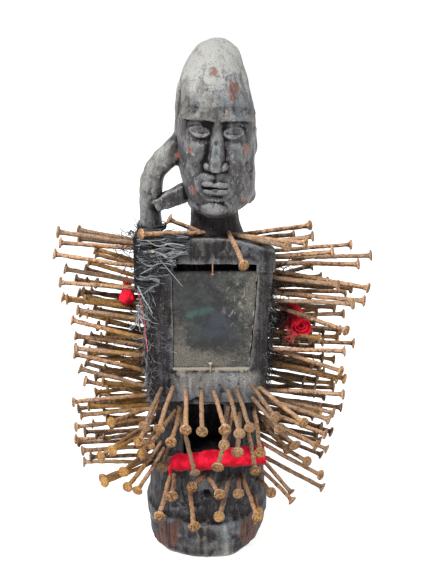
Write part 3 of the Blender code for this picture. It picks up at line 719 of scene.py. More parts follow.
# ---------------------------------------------------------------- materials
class Nodes:
    """Short names for building a material's nodes."""

    def __init__(self, name):
        self.mat = bpy.data.materials.new(name)
        self.mat.use_nodes = True
        self.tree = self.mat.node_tree
        self.bsdf = self.tree.nodes["Principled BSDF"]

    def node(self, kind, **inputs):
        n = self.tree.nodes.new(kind)
        for k, v in inputs.items():
            if hasattr(n, k):
                setattr(n, k, v)
        return n

    def put(self, socket, value):
        if hasattr(value, "node"):
            self.tree.links.new(value, socket)
        else:
            socket.default_value = value

    def attribute(self, name):
        n = self.tree.nodes.new("ShaderNodeAttribute")
        n.attribute_name = name
        return n.outputs["Fac"]

    def place(self, scale=(1, 1, 1)):
        t = self.tree.nodes.new("ShaderNodeTexCoord")
        m = self.tree.nodes.new("ShaderNodeMapping")
        m.inputs["Scale"].default_value = scale
        self.tree.links.new(t.outputs["Object"], m.inputs["Vector"])
        return m.outputs["Vector"]

    def noise(self, size, detail=3.0, rough=0.55, stretch=(1, 1, 1), seed=0.0, warp=0.0):
        """Noise with lumps of a size in metres, as its Fac output."""
        t = self.tree.nodes.new("ShaderNodeTexCoord")
        m = self.tree.nodes.new("ShaderNodeMapping")
        m.inputs["Scale"].default_value = stretch
        m.inputs["Location"].default_value = (seed, seed * 0.7, seed * 1.3)
        self.tree.links.new(t.outputs["Object"], m.inputs["Vector"])
        n = self.tree.nodes.new("ShaderNodeTexNoise")
        self.tree.links.new(m.outputs["Vector"], n.inputs["Vector"])
        n.inputs["Scale"].default_value = 1.0 / size
        n.inputs["Detail"].default_value = detail
        n.inputs["Roughness"].default_value = rough
        n.inputs["Distortion"].default_value = warp
        return n.outputs["Fac"]

    def math(self, how, a, b=0.0, c=0.0):
        n = self.tree.nodes.new("ShaderNodeMath")
        n.operation = how
        self.put(n.inputs[0], a)
        self.put(n.inputs[1], b)
        self.put(n.inputs[2], c)
        return n.outputs[0]

    def ramp(self, value, low, high, to_low=0.0, to_high=1.0):
        n = self.tree.nodes.new("ShaderNodeMapRange")
        n.interpolation_type = "SMOOTHSTEP"
        self.put(n.inputs["Value"], value)
        self.put(n.inputs["From Min"], low)
        self.put(n.inputs["From Max"], high)
        self.put(n.inputs["To Min"], to_low)
        self.put(n.inputs["To Max"], to_high)
        return n.outputs["Result"]

    def mix(self, factor, a, b, how="MIX"):
        n = self.tree.nodes.new("ShaderNodeMix")
        n.data_type = "RGBA"
        n.blend_type = how
        self.put(n.inputs["Factor"], factor)
        self.put(n.inputs[6], (*a, 1) if isinstance(a, tuple) else a)
        self.put(n.inputs[7], (*b, 1) if isinstance(b, tuple) else b)
        return n.outputs[2]

    def bump(self, height, distance, strength=1.0, before=None):
        n = self.tree.nodes.new("ShaderNodeBump")
        n.inputs["Distance"].default_value = distance
        n.inputs["Strength"].default_value = strength
        self.put(n.inputs["Height"], height)
        if before:
            self.tree.links.new(before, n.inputs["Normal"])
        return n.outputs["Normal"]

    def facing_down(self):
        g = self.tree.nodes.new("ShaderNodeNewGeometry")
        s = self.tree.nodes.new("ShaderNodeSeparateXYZ")
        self.tree.links.new(g.outputs["Normal"], s.inputs[0])
        return self.ramp(s.outputs["Z"], 0.2, -0.8)

    def done(self, colour, rough, normal=None, metal=None, spec=None):
        self.put(self.bsdf.inputs["Base Color"], colour)
        self.put(self.bsdf.inputs["Roughness"], rough)
        if normal:
            self.put(self.bsdf.inputs["Normal"], normal)
        if metal is not None:
            self.put(self.bsdf.inputs["Metallic"], metal)
        if spec is not None:
            self.put(self.bsdf.inputs["Specular IOR Level"], spec)
        return self.mat


def wood_material():
    m = Nodes("carved_wood")
    fine = m.noise(0.0010, 3, 0.65, (1, 1, 0.7), 1)
    grain = m.noise(0.0026, 4, 0.65, (1, 1, 0.07), 2, 0.3)
    blotch = m.noise(0.012, 5, 0.6, (1, 1, 0.7), 3, 0.6)
    broad = m.noise(0.034, 3, 0.55, (1, 1, 0.7), 6, 0.4)
    paleness = m.attribute("paleness")
    worn = m.attribute("worn")
    hollow = m.attribute("hollow")
    smooth = m.attribute("smooth")
    # grey dust and wear, thicker on what stands out, with painted light and shade: paler convex edges as a painted
    # highlight, darker hollows as painted shade
    rough_part = m.math("SUBTRACT", 1.0, smooth)
    veil = m.math("ADD", paleness, m.math("MULTIPLY", m.math("SUBTRACT", blotch, 0.5), 0.60))
    veil = m.math("ADD", veil, m.math("MULTIPLY", m.math("SUBTRACT", broad, 0.5), 0.36))
    veil = m.math("ADD", veil, m.math("MULTIPLY", m.math("SUBTRACT", fine, 0.5), m.math("ADD", 0.34, m.math("MULTIPLY", rough_part, 0.72))))
    veil = m.math("ADD", veil, m.math("MULTIPLY", m.math("SUBTRACT", grain, 0.5), m.math("ADD", 0.10, m.math("MULTIPLY", rough_part, 0.14))))
    # paler convex edges: wear, and a painted edge highlight
    veil = m.math("ADD", veil, m.math("MULTIPLY", worn, 0.30))
    veil = m.math("SUBTRACT", veil, m.math("MULTIPLY", hollow, 0.55))
    dark = m.mix(m.ramp(grain, 0.35, 0.7), (0.014, 0.011, 0.012), (0.032, 0.028, 0.031))
    warm = m.mix(m.ramp(broad, 0.42, 0.60), (0.170, 0.163, 0.151), (0.134, 0.146, 0.158))
    colour = m.mix(m.ramp(veil, 0.02, 0.92), dark, warm)
    colour = m.mix(m.ramp(m.math("ADD", veil, m.math("MULTIPLY", m.math("SUBTRACT", fine, 0.5), 0.7)), 0.82, 1.35, 0.0, 0.85), colour, (0.36, 0.355, 0.335))
    # pale specks and scratches
    speck = m.ramp(m.noise(0.0019, 2, 0.5, seed=12), 0.67, 0.74)
    colour = m.mix(m.math("MULTIPLY", speck, 0.35), colour, (0.30, 0.29, 0.28))
    grit = m.ramp(m.noise(0.0011, 2, 0.6, seed=23), 0.55, 0.66)
    colour = m.mix(m.math("MULTIPLY", grit, m.ramp(veil, 0.40, 0.85, 0.0, 0.55)), colour, (0.40, 0.40, 0.385))
    # crisp pale flecks painted as glints of specular highlight, and dark flecks of worn, waxed wood
    chip = m.noise(0.0016, 3, 0.65, (1, 1, 0.55), 17, 0.3)
    where = m.ramp(m.noise(0.009, 3, 0.6, seed=18), 0.40, 0.60)
    painted_glint = m.math("MULTIPLY", m.ramp(chip, 0.56, 0.66), m.math("MULTIPLY", where, smooth))
    colour = m.mix(m.math("MULTIPLY", painted_glint, 0.60), colour, (0.42, 0.44, 0.44))
    dim = m.math("MULTIPLY", m.ramp(chip, 0.44, 0.35), m.math("SUBTRACT", 1.0, where))
    colour = m.mix(m.math("MULTIPLY", dim, 0.62), colour, (0.022, 0.023, 0.025))
    # bare red-brown wood where the skin is rubbed away
    bare = m.math("ADD", m.attribute("bare"), m.math("MULTIPLY", m.math("SUBTRACT", blotch, 0.5), 1.1))
    bare = m.math("ADD", bare, m.math("MULTIPLY", m.math("SUBTRACT", grain, 0.5), 0.9))
    bare = m.math("ADD", bare, m.math("MULTIPLY", m.math("SUBTRACT", fine, 0.5), 0.5))
    red = m.mix(m.ramp(grain, 0.3, 0.7), (0.10, 0.030, 0.018), (0.31, 0.105, 0.066))
    low_red = m.mix(m.ramp(grain, 0.36, 0.66), (0.022, 0.011, 0.009), (0.155, 0.062, 0.043))
    red = m.mix(smooth, low_red, red)
    colour = m.mix(m.ramp(bare, 0.36, 0.72, 0.0, 0.80), colour, red)
    # pale tan on the worn edges
    edge = m.ramp(m.math("ADD", m.attribute("edge"), m.math("MULTIPLY", m.math("SUBTRACT", fine, 0.5), 0.9)), 0.42, 0.95, 0.0, 0.75)
    colour = m.mix(edge, colour, (0.36, 0.32, 0.25))
    # painted shade with dark grime: hollows and creases go nearly black
    colour = m.mix(m.ramp(hollow, 0.25, 1.0, 0.0, 0.90), colour, (0.0045, 0.0042, 0.0045))
    n = m.bump(blotch, 0.0022, 0.35)
    n = m.bump(grain, 0.0012, 0.55, n)
    n = m.bump(fine, 0.0005, 0.6, n)
    rough = m.math("SUBTRACT", m.ramp(veil, 0.2, 1.1, 0.50, 0.80), m.math("MULTIPLY", smooth, 0.16))
    shine = m.math("ADD", 0.10, m.math("MULTIPLY", smooth, 0.42))
    shine = m.math("MULTIPLY", shine, m.ramp(hollow, 0.1, 0.6, 1.0, 0.1))
    return m.done(colour, rough, n, spec=shine)


WOOD = wood_material()


# Bare patches: (u, v) on the front view, half width and half height in
# millimetres, and how bare.
BARE = [
    (212, 71, 7, 7, 0.50),
    (192, 74, 4, 5, 0.30),
    (234, 88, 6, 10, 0.74),
    (233, 98, 4, 5, 0.80),
    (246, 149, 4, 5, 0.7),
    (178, 155, 3, 4, 0.8),
    (190, 150, 5, 5, 0.5),
    (192, 190, 4, 5, 0.75),
    (226, 160, 4, 3, 0.5),
    (243, 200, 5, 3, 0.55),
    (229, 118, 2, 12, 0.5),
    (166, 535, 12, 14, 1.0),
    (249, 532, 9, 15, 1.0),
    (178, 524, 8, 5, 0.7),
    (160, 518, 6, 6, 0.6),
    (205, 545, 14, 6, 0.35),
]


def body_fields(mesh):
    """Where dust lies and light and shade are painted, what is worn, hollow or bare."""
    p = coords(mesh) * 1000
    n = normals(mesh)
    x, y, z = p[:, 0], p[:, 1], p[:, 2]
    mean = neighbours_mean(mesh, p)
    bend = ((p - mean) * n).sum(1)
    for _ in range(2):
        bend = 0.5 * bend + 0.5 * neighbours_mean(mesh, bend)
    wide = p.copy()
    for _ in range(14):
        wide = neighbours_mean(mesh, wide)
    broad = ((p - wide) * n).sum(1)
    # worn: convexity, used as wear and as a painted edge highlight
    worn = np.clip(bend / 0.09, -1, 1) * 0.7 + np.clip(broad / 0.7, -1, 1) * 0.7
    # hollow: concave places, darkened as grime and as painted shade
    hollow = np.clip(-broad / 0.95 - 0.14, 0, 1)
    hollow = np.where(z > 366, np.clip((-broad - 0.27) / 0.6, 0, 1), hollow)
    up = np.clip(n[:, 2] * 0.5 + 0.5, 0, 1)
    worn = worn * (1 - 0.75 * (np.abs(x) > 51) * (z > 172) * (z < 330))
    hollow = hollow * (1 - 0.4 * (z < 112) * (z > 40) * (y < -30))
    on_head = step01(356, 372, z)
    on_top = step01(440, 500, z)
    hollow = hollow * (1 - 0.6 * on_top) * (1 - 0.85 * hump(z, 44, 15))
    on_base = 1 - step01(38, 50, z)
    on_arm = step01(-34, -42, x) * step01(340, 352, z)
    on_chest = step01(160, 172, z) * (1 - step01(346, 358, z)) * (1 - on_arm)
    front = step01(0.1, 0.8, -n[:, 1])
    # where each point shows on the front view
    eye = np.array(EYE)
    rel = p / 1000 - eye
    ahead = rel @ np.array((0, math.cos(LOOK_DOWN), -math.sin(LOOK_DOWN)))
    pu = MID_U + rel[:, 0] / ahead * STEPS
    pv = MID_V - (rel @ np.array((0, math.sin(LOOK_DOWN), math.cos(LOOK_DOWN)))) / ahead * STEPS
    # grey dust, with painted light on the head: planes that face up are made paler
    paleness = 0.28 - 0.10 * on_head + 0.82 * step01(456, 500, z) + 0.60 * (up - 0.5) * on_head
    paleness -= 0.16 * on_chest + 0.02 * on_chest * front * step01(178, 166, pu)
    # the right border of the chest and the board below the cover are dustier
    paleness += 0.22 * on_chest * front * step01(258, 264, pu) * step01(372, 300, pv)
    paleness += 0.78 * on_chest * front * step01(371, 375, pv) * step01(404, 384, pv) * step01(165, 180, pu) * step01(266, 252, pu)
    paleness += 0.22 * on_chest * step01(0.3, 0.9, n[:, 2]) * step01(-20, 20, x)
    paleness += 0.36 * on_arm * (1 - on_head * step01(-38, -30, x))
    # painted shade: the arm's inner side, facing the head, is made darker
    paleness -= 0.34 * on_arm * step01(-0.2, 0.6, n[:, 0]) * (x < -40)
    prop = on_arm * 0 + hump(z, 372, 16) * step01(-20, -26, x) * step01(-52, -44, x) * front
    paleness -= 0.34 * prop
    paleness -= 0.45 * on_arm * step01(366, 352, z) * step01(-56, -50, x)
    paleness -= 0.16 * on_chest * step01(54, 58, x)
    # painted shade: the legs and the front between them, under the chest's overhang, are made nearly black
    paleness -= 0.24 * step01(44, 60, z) * step01(172, 160, z)
    paleness += 0.16 * hump(pv, 478, 16) * front * (np.abs(pu - 216) < 30)
    paleness += 0.40 * hump(pv, 482, 13) * hump(pu, 206, 14) * front
    paleness -= 0.10 * on_base * (y > 0)
    paleness -= 0.12 * on_base
    paleness += 0.14 * on_base * front * hump(pu, 212, 34)
    paleness += 0.42 * on_base * front * hump(pu + 2.5 * noise(p, 9, 2), 226, 8)
    # painted shade under the head: the neck is made darker
    neck = step01(366, 352, z) * step01(332, 346, z) * (np.hypot(x - 8, y) < 34)
    paleness -= 0.47 * neck
    # painted shade: the head's downward-facing surfaces are made darker
    under = step01(-0.2, -0.75, n[:, 2]) * on_head
    paleness -= 0.25 * under
    bare = np.zeros(len(p))
    wob = 1 + 0.35 * noise(p, (5, 5, 6), 3)
    for u, v, a, b, much in BARE:
        d = np.array(sight(u, v))
        q = np.sqrt(((pu - u) / a) ** 2 + ((pv - v) / b) ** 2) * wob
        shown = -(n @ d) > 0.05
        bare = np.maximum(bare, much * np.clip(1.5 - q, 0, 1) * shown)
    # the sides and back of the base are rubbed bare in places too
    rub = noise(p, (16, 16, 18), 6) + 0.4 * noise(p, (6, 6, 22), 1)
    bare = np.maximum(bare, 0.65 * on_base * step01(0.25, 0.7, rub) * step01(-20, 10, y))
    bare = np.maximum(bare, 0.5 * on_head * step01(0.46, 0.8, noise(p, 13, 2)) * step01(0, 20, y))
    edge = np.clip(broad / 0.9 - 0.45, 0, 1) * (0.25 + 0.5 * on_base * (z < 30) + 0.35 * on_chest * front)
    # the pale ledge under the cover and the dry left corner of the base
    edge += 0.85 * hump(pv, 369.3, 3.0) * front * step01(170, 174, pu) * step01(250, 246, pu)
    edge += 0.45 * hump(pu, 150, 4.5) * step01(470, 480, pv) * step01(530, 512, pv)
    edge += 0.5 * (pu > 254) * on_base * hump(pv, 524, 16) * step01(0.2, 0.6, n[:, 0])
    edge += 0.55 * prop * step01(0.25, 0.7, n[:, 2])
    smooth = np.clip(on_head * (1 - 0.8 * on_top) + on_arm, 0, 1)
    field(mesh, "paleness", paleness)
    field(mesh, "worn", worn)
    field(mesh, "hollow", hollow)
    field(mesh, "bare", bare)
    field(mesh, "edge", edge)
    field(mesh, "smooth", smooth)


body_fields(body_mesh)
body = piece("carved_body", body_mesh, WOOD, ("body",))

# ---------------------------------------------------------------- nails
SHANK, NAIL_HEAD, NAIL_HEAD_T, DRIVEN = 2.3, 5.6, 1.6, 18.0


def frame_for(along):
    """Two directions across a direction, as unit vectors."""
    a = np.asarray(along, float) / np.linalg.norm(along)
    side = np.cross(a, (0, 0, 1) if abs(a[2]) < 0.9 else (1, 0, 0))
    side /= np.linalg.norm(side)
    return a, side, np.cross(side, a)


def nail_shape(foot, top, seed, sides=12, crook=0.8, hat=NAIL_HEAD, hat_seed=None):
    """A rusty hand-forged nail from foot to the top of its head: rows of points and
    quads, in millimetres, with how near the head and the root each point is, and which rows make its head."""
    rnd = np.random.default_rng(seed)
    foot, top = np.asarray(foot, float), np.asarray(top, float)
    a, s, t = frame_for(top - foot)
    long = np.linalg.norm(top - foot)
    thick = NAIL_HEAD_T * rnd.uniform(0.9, 1.35)
    hat = hat * rnd.uniform(0.92, 1.07)
    body = SHANK * rnd.uniform(0.92, 1.04)
    flare = rnd.uniform(4.0, 7.5)
    rows = [(0.0, 0.15), (3.0, body * 0.7), (7.0, body)]
    n = max(int((long - 16) / 3.6), 5)
    for h in np.linspace(11.0, long - thick - flare, n):
        rows.append((h, body))
    rows += [
        (long - thick - flare * 0.55, body * 1.06),
        (long - thick - flare * 0.22, body * 1.32),
        (long - thick - 0.25, hat * 0.80),
        (long - thick, hat * 0.97),
        (long - thick * 0.45, hat * 1.03),
        (long - thick * 0.08, hat * 0.93),
        (long + 0.15, hat * 0.62),
        (long + 0.30, hat * 0.30),
        (long + 0.30, 0.05),
    ]
    rows = np.array(rows)
    heights = rows[:, 0]
    bow = rnd.uniform(-crook, crook, 2)
    wob = rnd.uniform(-0.35, 0.35, (2, 3))
    mid = np.sin(np.pi * np.clip(heights / long, 0, 1))
    shift = [
        bow[k] * mid
        + wob[k][0] * mid * np.sin(heights / 9.0 + 6 * wob[k][1])
        for k in range(2)
    ]
    theta = 2 * np.pi * (np.arange(sides) + 0.5) / sides
    turn = rnd.uniform(0, 6.28)
    oval_head = 1 + rnd.uniform(0.02, 0.10) * np.cos(2 * (theta + turn))
    nick = 1 - rnd.uniform(0.0, 0.16) * np.exp(-(((theta + turn) % 6.283 - 3.1) / 0.5) ** 2)
    tilt = rnd.uniform(-0.10, 0.10, 2)
    pts = []
    for i, (h, r) in enumerate(rows):
        hatty = 1.0 if h > long - thick - 0.3 else 0.0
        ring = r * (1 + hatty * (oval_head * nick - 1))
        lift = h + hatty * (tilt[0] * np.cos(theta) + tilt[1] * np.sin(theta)) * ring
        pts.append(
            foot
            + np.outer(lift, a)
            + np.outer(ring * np.cos(theta) + shift[0][i], s)
            + np.outer(ring * np.sin(theta) + shift[1][i], t)
        )
    pts = np.array(pts)
    # rust lumps, stronger near the head
    flat = pts.reshape(-1, 3).astype(np.float32)
    centre = (
        foot
        + np.outer(heights, a)
        + np.outer(shift[0], s)
        + np.outer(shift[1], t)
    )
    outward = flat - np.repeat(centre, sides, axis=0)
    outward -= np.outer(outward @ a, a)
    size = np.maximum(np.linalg.norm(outward, axis=1), 0.3)
    off = np.float32(seed % 97) * 11
    lump = 0.34 * noise(flat + off, (3.8, 3.8, 3.8), 2) + 0.22 * noise(
        flat + off, (1.7, 1.7, 1.7), 4
    )
    lump *= np.clip(size / 1.5, 0, 1)
    flat = flat + outward / size[:, None] * lump[:, None]
    count = len(rows)
    i, j = np.meshgrid(np.arange(count - 1), np.arange(sides), indexing="ij")
    k = (j + 1) % sides
    quads = np.stack(
        [i * sides + j, i * sides + k, (i + 1) * sides + k, (i + 1) * sides + j], -1
    ).reshape(-1, 4)
    near = np.repeat(np.clip(1 - (long - heights) / 16.0, 0, 1), sides)
    low = np.repeat(np.clip(1 - (heights - DRIVEN) / 22.0, 0, 1), sides)
    disc = np.zeros(count)
    disc[-3:] = 1.0
    disc[-4] = 0.55
    disc[-6:-4] = -1.0
    disc[-7] = -0.5
    return flat, quads, near, low, np.repeat(disc, sides)


def join_nails(name, shapes, tones, low_tones=None):
    """One mesh of several nails."""
    verts, quads, tone, near, rooted, discs = [], [], [], [], [], []
    start = 0
    for (v, q, h, low, disc), tn in zip(shapes, tones):
        discs.append(disc)
        verts.append(v)
        quads.append(q + start)
        start += len(v)
        tone.append(np.full(len(v), tn))
        near.append(h)
        rooted.append(low)
    mesh = make_mesh(name, np.concatenate(verts) / 1000, np.concatenate(quads))
    field(mesh, "tone", np.concatenate(tone))
    field(mesh, "near_head", np.concatenate(near))
    field(mesh, "rooted", np.concatenate(rooted))
    field(mesh, "disc", np.concatenate(discs))
    mesh.shade_smooth()
    mesh.set_sharp_from_angle(angle=math.radians(55))
    return mesh


def iron_material():
    m = Nodes("rusty_iron")
    tone = m.attribute("tone")
    near = m.attribute("near_head")
    rooted = m.attribute("rooted")
    disc = m.attribute("disc")
    fine = m.noise(0.0009, 3, 0.7, seed=1)
    patch = m.noise(0.0036, 4, 0.65, seed=2, warp=0.6)
    broad = m.noise(0.014, 3, 0.5, seed=3)
    g = m.tree.nodes.new("ShaderNodeNewGeometry")
    xyz = m.tree.nodes.new("ShaderNodeSeparateXYZ")
    m.tree.links.new(g.outputs["Normal"], xyz.inputs[0])
    up = xyz.outputs["Z"]
    tan = m.mix(m.ramp(fine, 0.32, 0.70), (0.33, 0.155, 0.066), (0.88, 0.58, 0.33))
    pink = m.mix(m.ramp(broad, 0.42, 0.58), tan, m.mix(m.ramp(fine, 0.32, 0.70), (0.31, 0.155, 0.088), (0.86, 0.57, 0.40)))
    brown = m.mix(m.ramp(fine, 0.35, 0.7), (0.030, 0.016, 0.010), (0.115, 0.060, 0.034))
    value = m.math("ADD", m.math("MULTIPLY", tone, 0.55), m.math("MULTIPLY", m.math("SUBTRACT", patch, 0.5), 1.9))
    # painted light: the upper sides of the nails are made lighter by the normal's height
    value = m.math("ADD", value, m.math("MULTIPLY", up, 0.34))
    value = m.math("SUBTRACT", value, m.math("MULTIPLY", m.math("MAXIMUM", disc, 0.0), 0.24))
    value = m.math("SUBTRACT", value, m.math("MULTIPLY", m.math("MINIMUM", disc, 0.0), 0.30))
    colour = m.mix(m.ramp(value, 0.10, 0.72), brown, pink)
    kind = m.math("FRACT", m.math("MULTIPLY", tone, 7.3))
    greyer = m.mix(m.ramp(fine, 0.35, 0.68), (0.105, 0.075, 0.052), (0.42, 0.325, 0.235))
    colour = m.mix(m.ramp(kind, 0.55, 0.85, 0.0, 0.55), colour, greyer)
    gold = m.mix(m.ramp(fine, 0.35, 0.68), (0.165, 0.070, 0.014), (0.64, 0.365, 0.10))
    golden = m.attribute("golden")
    rust = m.math("ADD", m.math("MULTIPLY", near, 0.12), m.math("MULTIPLY", rooted, 0.05))
    rust = m.math("ADD", rust, m.math("SUBTRACT", patch, 0.70))
    rust = m.math("ADD", rust, m.math("MULTIPLY", golden, 0.46))
    colour = m.mix(m.ramp(rust, 0.0, 0.26, 0.0, 0.85), colour, gold)
    fleck = m.ramp(m.noise(0.0015, 2, 0.6, seed=9), 0.42, 0.60)
    on_disc = m.math("MAXIMUM", disc, 0.0)
    colour = m.mix(m.math("MULTIPLY", m.math("MULTIPLY", fleck, on_disc), m.math("ADD", 0.55, m.math("MULTIPLY", golden, 0.35))), colour, (0.60, 0.32, 0.115))
    stain = m.ramp(m.noise(0.0065, 4, 0.6, seed=25), 0.52, 0.66)
    colour = m.mix(m.math("MULTIPLY", stain, 0.50), colour, (0.125, 0.062, 0.032))
    spot = m.ramp(m.noise(0.0023, 3, 0.6, seed=15), 0.53, 0.64)
    colour = m.mix(m.math("MULTIPLY", spot, 0.42), colour, (0.50, 0.19, 0.045))
    pit = m.ramp(m.noise(0.0015, 2, 0.55, seed=6), 0.44, 0.30)
    colour = m.mix(m.math("MULTIPLY", pit, 0.72), colour, (0.040, 0.021, 0.012))
    # painted shade: the nails' downward-facing sides are made dark brown
    below = m.ramp(up, -0.05, -0.85, 0.0, 0.52)
    colour = m.mix(below, colour, (0.034, 0.018, 0.010))
    colour = m.mix(m.math("MULTIPLY", rooted, 0.35), colour, (0.035, 0.024, 0.018))
    colour = m.mix(m.ramp(m.attribute("dark"), 0, 1, 0, 0.66), colour, (0.045, 0.026, 0.014))
    n = m.bump(patch, 0.0012, 0.8)
    n = m.bump(fine, 0.0007, 0.9, n)
    return m.done(colour, m.ramp(fine, 0.3, 0.7, 0.55, 0.9), n, metal=0.0, spec=0.16)


IRON = iron_material()


def nail_axis(node):
    """Foot and top of a CAD nail, in millimetres: its point is its one far vertex,
    and its head's top face is opposite."""
    p = np.unique(np.round(coords(node.data).astype(float) * 1000, 3), axis=0)
    middle = p.mean(0)
    foot = p[np.argmax(np.linalg.norm(p - middle, axis=1))]
    a = middle - foot
    a /= np.linalg.norm(a)
    for _ in range(3):
        h = (p - foot) @ a
        top = p[h > h.max() - 0.35].mean(0)
        a = (top - foot) / np.linalg.norm(top - foot)
    return foot, top


def spread_fields(mesh, golden, dark):
    """golden and dark for every point of a mesh. The nails on the image's left are
    golden with rust towards their roots."""
    p = coords(mesh) * 1000
    rooty = step01(-128, -84, p[:, 0]) * step01(-58, -66, p[:, 0])
    rooty = rooty * step01(332, 300, p[:, 2]) * (0.75 + 0.5 * noise(p, 16, 4))
    field(mesh, "golden", golden + 0.85 * rooty)
    field(mesh, "dark", dark * (1 - 0.55 * rooty))


placed = []  # (foot, top) of every nail, in millimetres
for i, name in enumerate(sorted(n for n in nodes if n.startswith("nail_"))):
    foot, top = nail_axis(nodes[name])
    placed.append((foot, top))
    shape = nail_shape(foot, top, 300 + i)
    rnd = np.random.default_rng(900 + i)
    tone = rnd.uniform(0.55, 1.0)
    deep = (foot[1] + top[1]) / 2
    if "front" in name:
        tone = rnd.uniform(0.50, 0.90)
    elif deep > 10:
        tone = rnd.uniform(0.35, 0.75)
    mesh = join_nails("rusty_" + name, [shape], [tone])
    low_down = step01(190, 120, top[2]) * ("front" in name)
    spread_fields(
        mesh,
        0.6 * low_down * (rnd.uniform() > 0.35) * np.maximum(shape[4], 0)
        + 0.35 * (rnd.uniform() > 0.8) * (1 - np.abs(shape[4])),
        np.full(len(shape[0]), rnd.uniform(0.0, 0.3) * ("front" in name)),
    )
    piece("rusty_" + name, mesh, IRON, (name,))

cad_body = nodes["body"].data
skin = BVHTree.FromPolygons(
    [v.co for v in cad_body.vertices], [p.vertices for p in cad_body.polygons]
)


def on_side(u0, v0, u1, v1, side, y):
    across = sight(u0, v0).cross(sight(u1, v1))
    z = at_depth(u0, v0, y).z
    for _ in range(6):
        hit = skin.ray_cast(Vector((side * 0.2, y, z)), Vector((-side, 0, 0)))[0]
        x = hit.x if hit else side * 0.06
        z = EYE.z - (across.x * (x - EYE.x) + across.y * (y - EYE.y)) / across.z
    return Vector((x, y, z))


def on_front(u0, v0, u1, v1):
    """Where the line seen from its head to (u0, v0) and on first meets the wood."""
    for k in range(40):
        u, v = u0 + (u0 - u1) * 0.02 * k, v0 + (v0 - v1) * 0.02 * k
        hit = skin.ray_cast(EYE, sight(u, v))[0]
        if hit:
            return hit
    return None


def head_point(entry, u, v, lean, out):
    d = sight(u, v)
    near = (entry - EYE).dot(d)
    foot = EYE + d * near
    wide = (entry - foot).length
    if out:
        return EYE + d * (near - math.sqrt(max(out * out - wide * wide, 0)))
    return EYE + d * (near - wide * math.tan(math.radians(lean)))


def apart(a0, a1, segments):
    """The least distance from one nail to each of the others."""
    t = np.linspace(0.12, 1, 14)[:, None]
    p = a0 + (a1 - a0) * t
    out = []
    for b0, b1 in segments:
        ab = b1 - b0
        s = np.clip(((p - b0) @ ab) / (ab @ ab), 0, 1)[:, None]
        out.append(np.linalg.norm(p - b0 - s * ab, axis=1).min())
    return np.array(out)


# Further nails, as (u, v) where the shank shows and (u, v) of the head, with the
# kind of its colour: t tan, y golden, d dark. They fill the rows behind and
# between the CAD's nails.
MORE_LEFT = [
    (129.7, 239, 78, 229.6, "t"),
    (130, 243.5, 78, 238.5, "d"),
    (133, 263, 95.6, 253.8, "t"),
    (133, 261, 94.6, 248.7, "y"),
    (134, 281, 84.4, 269, "d"),
    (126.5, 273.6, 88, 262, "y"),
    (134, 290, 75.5, 279.3, "d"),
    (132, 300, 90.2, 291.4, "d"),
    (130, 306, 78, 293.3, "d"),
    (128, 307, 66, 299.5, "y"),
    (131, 315, 94, 308.7, "d"),
    (137, 341, 106, 333, "d"),
    (136, 327, 80, 312.5, "y"),
    (142, 353, 83.9, 341.3, "d"),
    (144, 362, 88, 350, "y"),
    (144.2, 379.5, 85.5, 363, "d"),
    (144, 368, 121, 361, "d"),
    (143, 348, 106, 340, "d"),
    (144, 373, 104, 368.5, "d"),
    (145, 386, 102, 382, "y"),
    (145, 395, 108, 396, "d"),
    (143, 402, 99.5, 393, "t"),
    (142.3, 405.5, 88, 406, "y"),
    (142, 404, 77.6, 408.6, "d"),
    (143, 409, 80, 415, "t"),
    (128, 437, 74.7, 439.2, "t"),
    (128, 441, 78, 442.5, "d"),
    (129, 431, 84, 432, "d"),
    (125.4, 462, 83, 461.5, "t"),
    (128, 456, 90, 457, "d"),
    (140, 422, 92, 424, "y"),
]
MORE_RIGHT = [
    (262, 238, 294.9, 234.7, "d"),
    (262, 243, 313.6, 236.3, "t"),
    (278, 255.5, 333.9, 251.5, "t"),
    (279, 273.5, 312.5, 265.5, "d"),
    (280, 280, 351.9, 288.1, "d"),
    (284.5, 278.6, 338.7, 285, "t"),
    (284.5, 283.5, 333, 288.5, "d"),
    (279, 301, 353.9, 304, "t"),
    (285, 305, 335.5, 307.3, "d"),
    (280, 325, 341, 330.5, "d"),
    (272, 312, 316, 321, "d"),
    (272, 321, 312, 331, "d"),
    (272, 317.5, 300, 323.5, "d"),
    (272, 329, 320, 338.5, "y"),
    (271, 356, 322, 365, "d"),
    (270, 371, 318, 380, "d"),
    (282, 334, 338, 337, "y"),
    (283.8, 349.6, 345.4, 351.2, "t"),
    (278, 352, 334.7, 359.6, "y"),
    (286, 344, 314, 346.5, "d"),
    (276, 362, 345.4, 379, "y"),
    (280, 363, 321, 367.5, "d"),
    (270.4, 378, 333, 383, "y"),
    (272, 386, 334.4, 387.7, "d"),
    (276, 391, 324.7, 396.5, "d"),
    (272, 398, 342, 407.5, "d"),
    (269, 397, 321.3, 413.5, "y"),
    (279, 412, 332, 432.3, "d"),
    (276, 428, 327.7, 449.4, "t"),
    (276, 436, 322, 455, "d"),
    (270.5, 469, 291.6, 493, "t"),
    (271.3, 480, 292.9, 501.4, "t"),
    (276, 403, 330, 420, "t"),
]
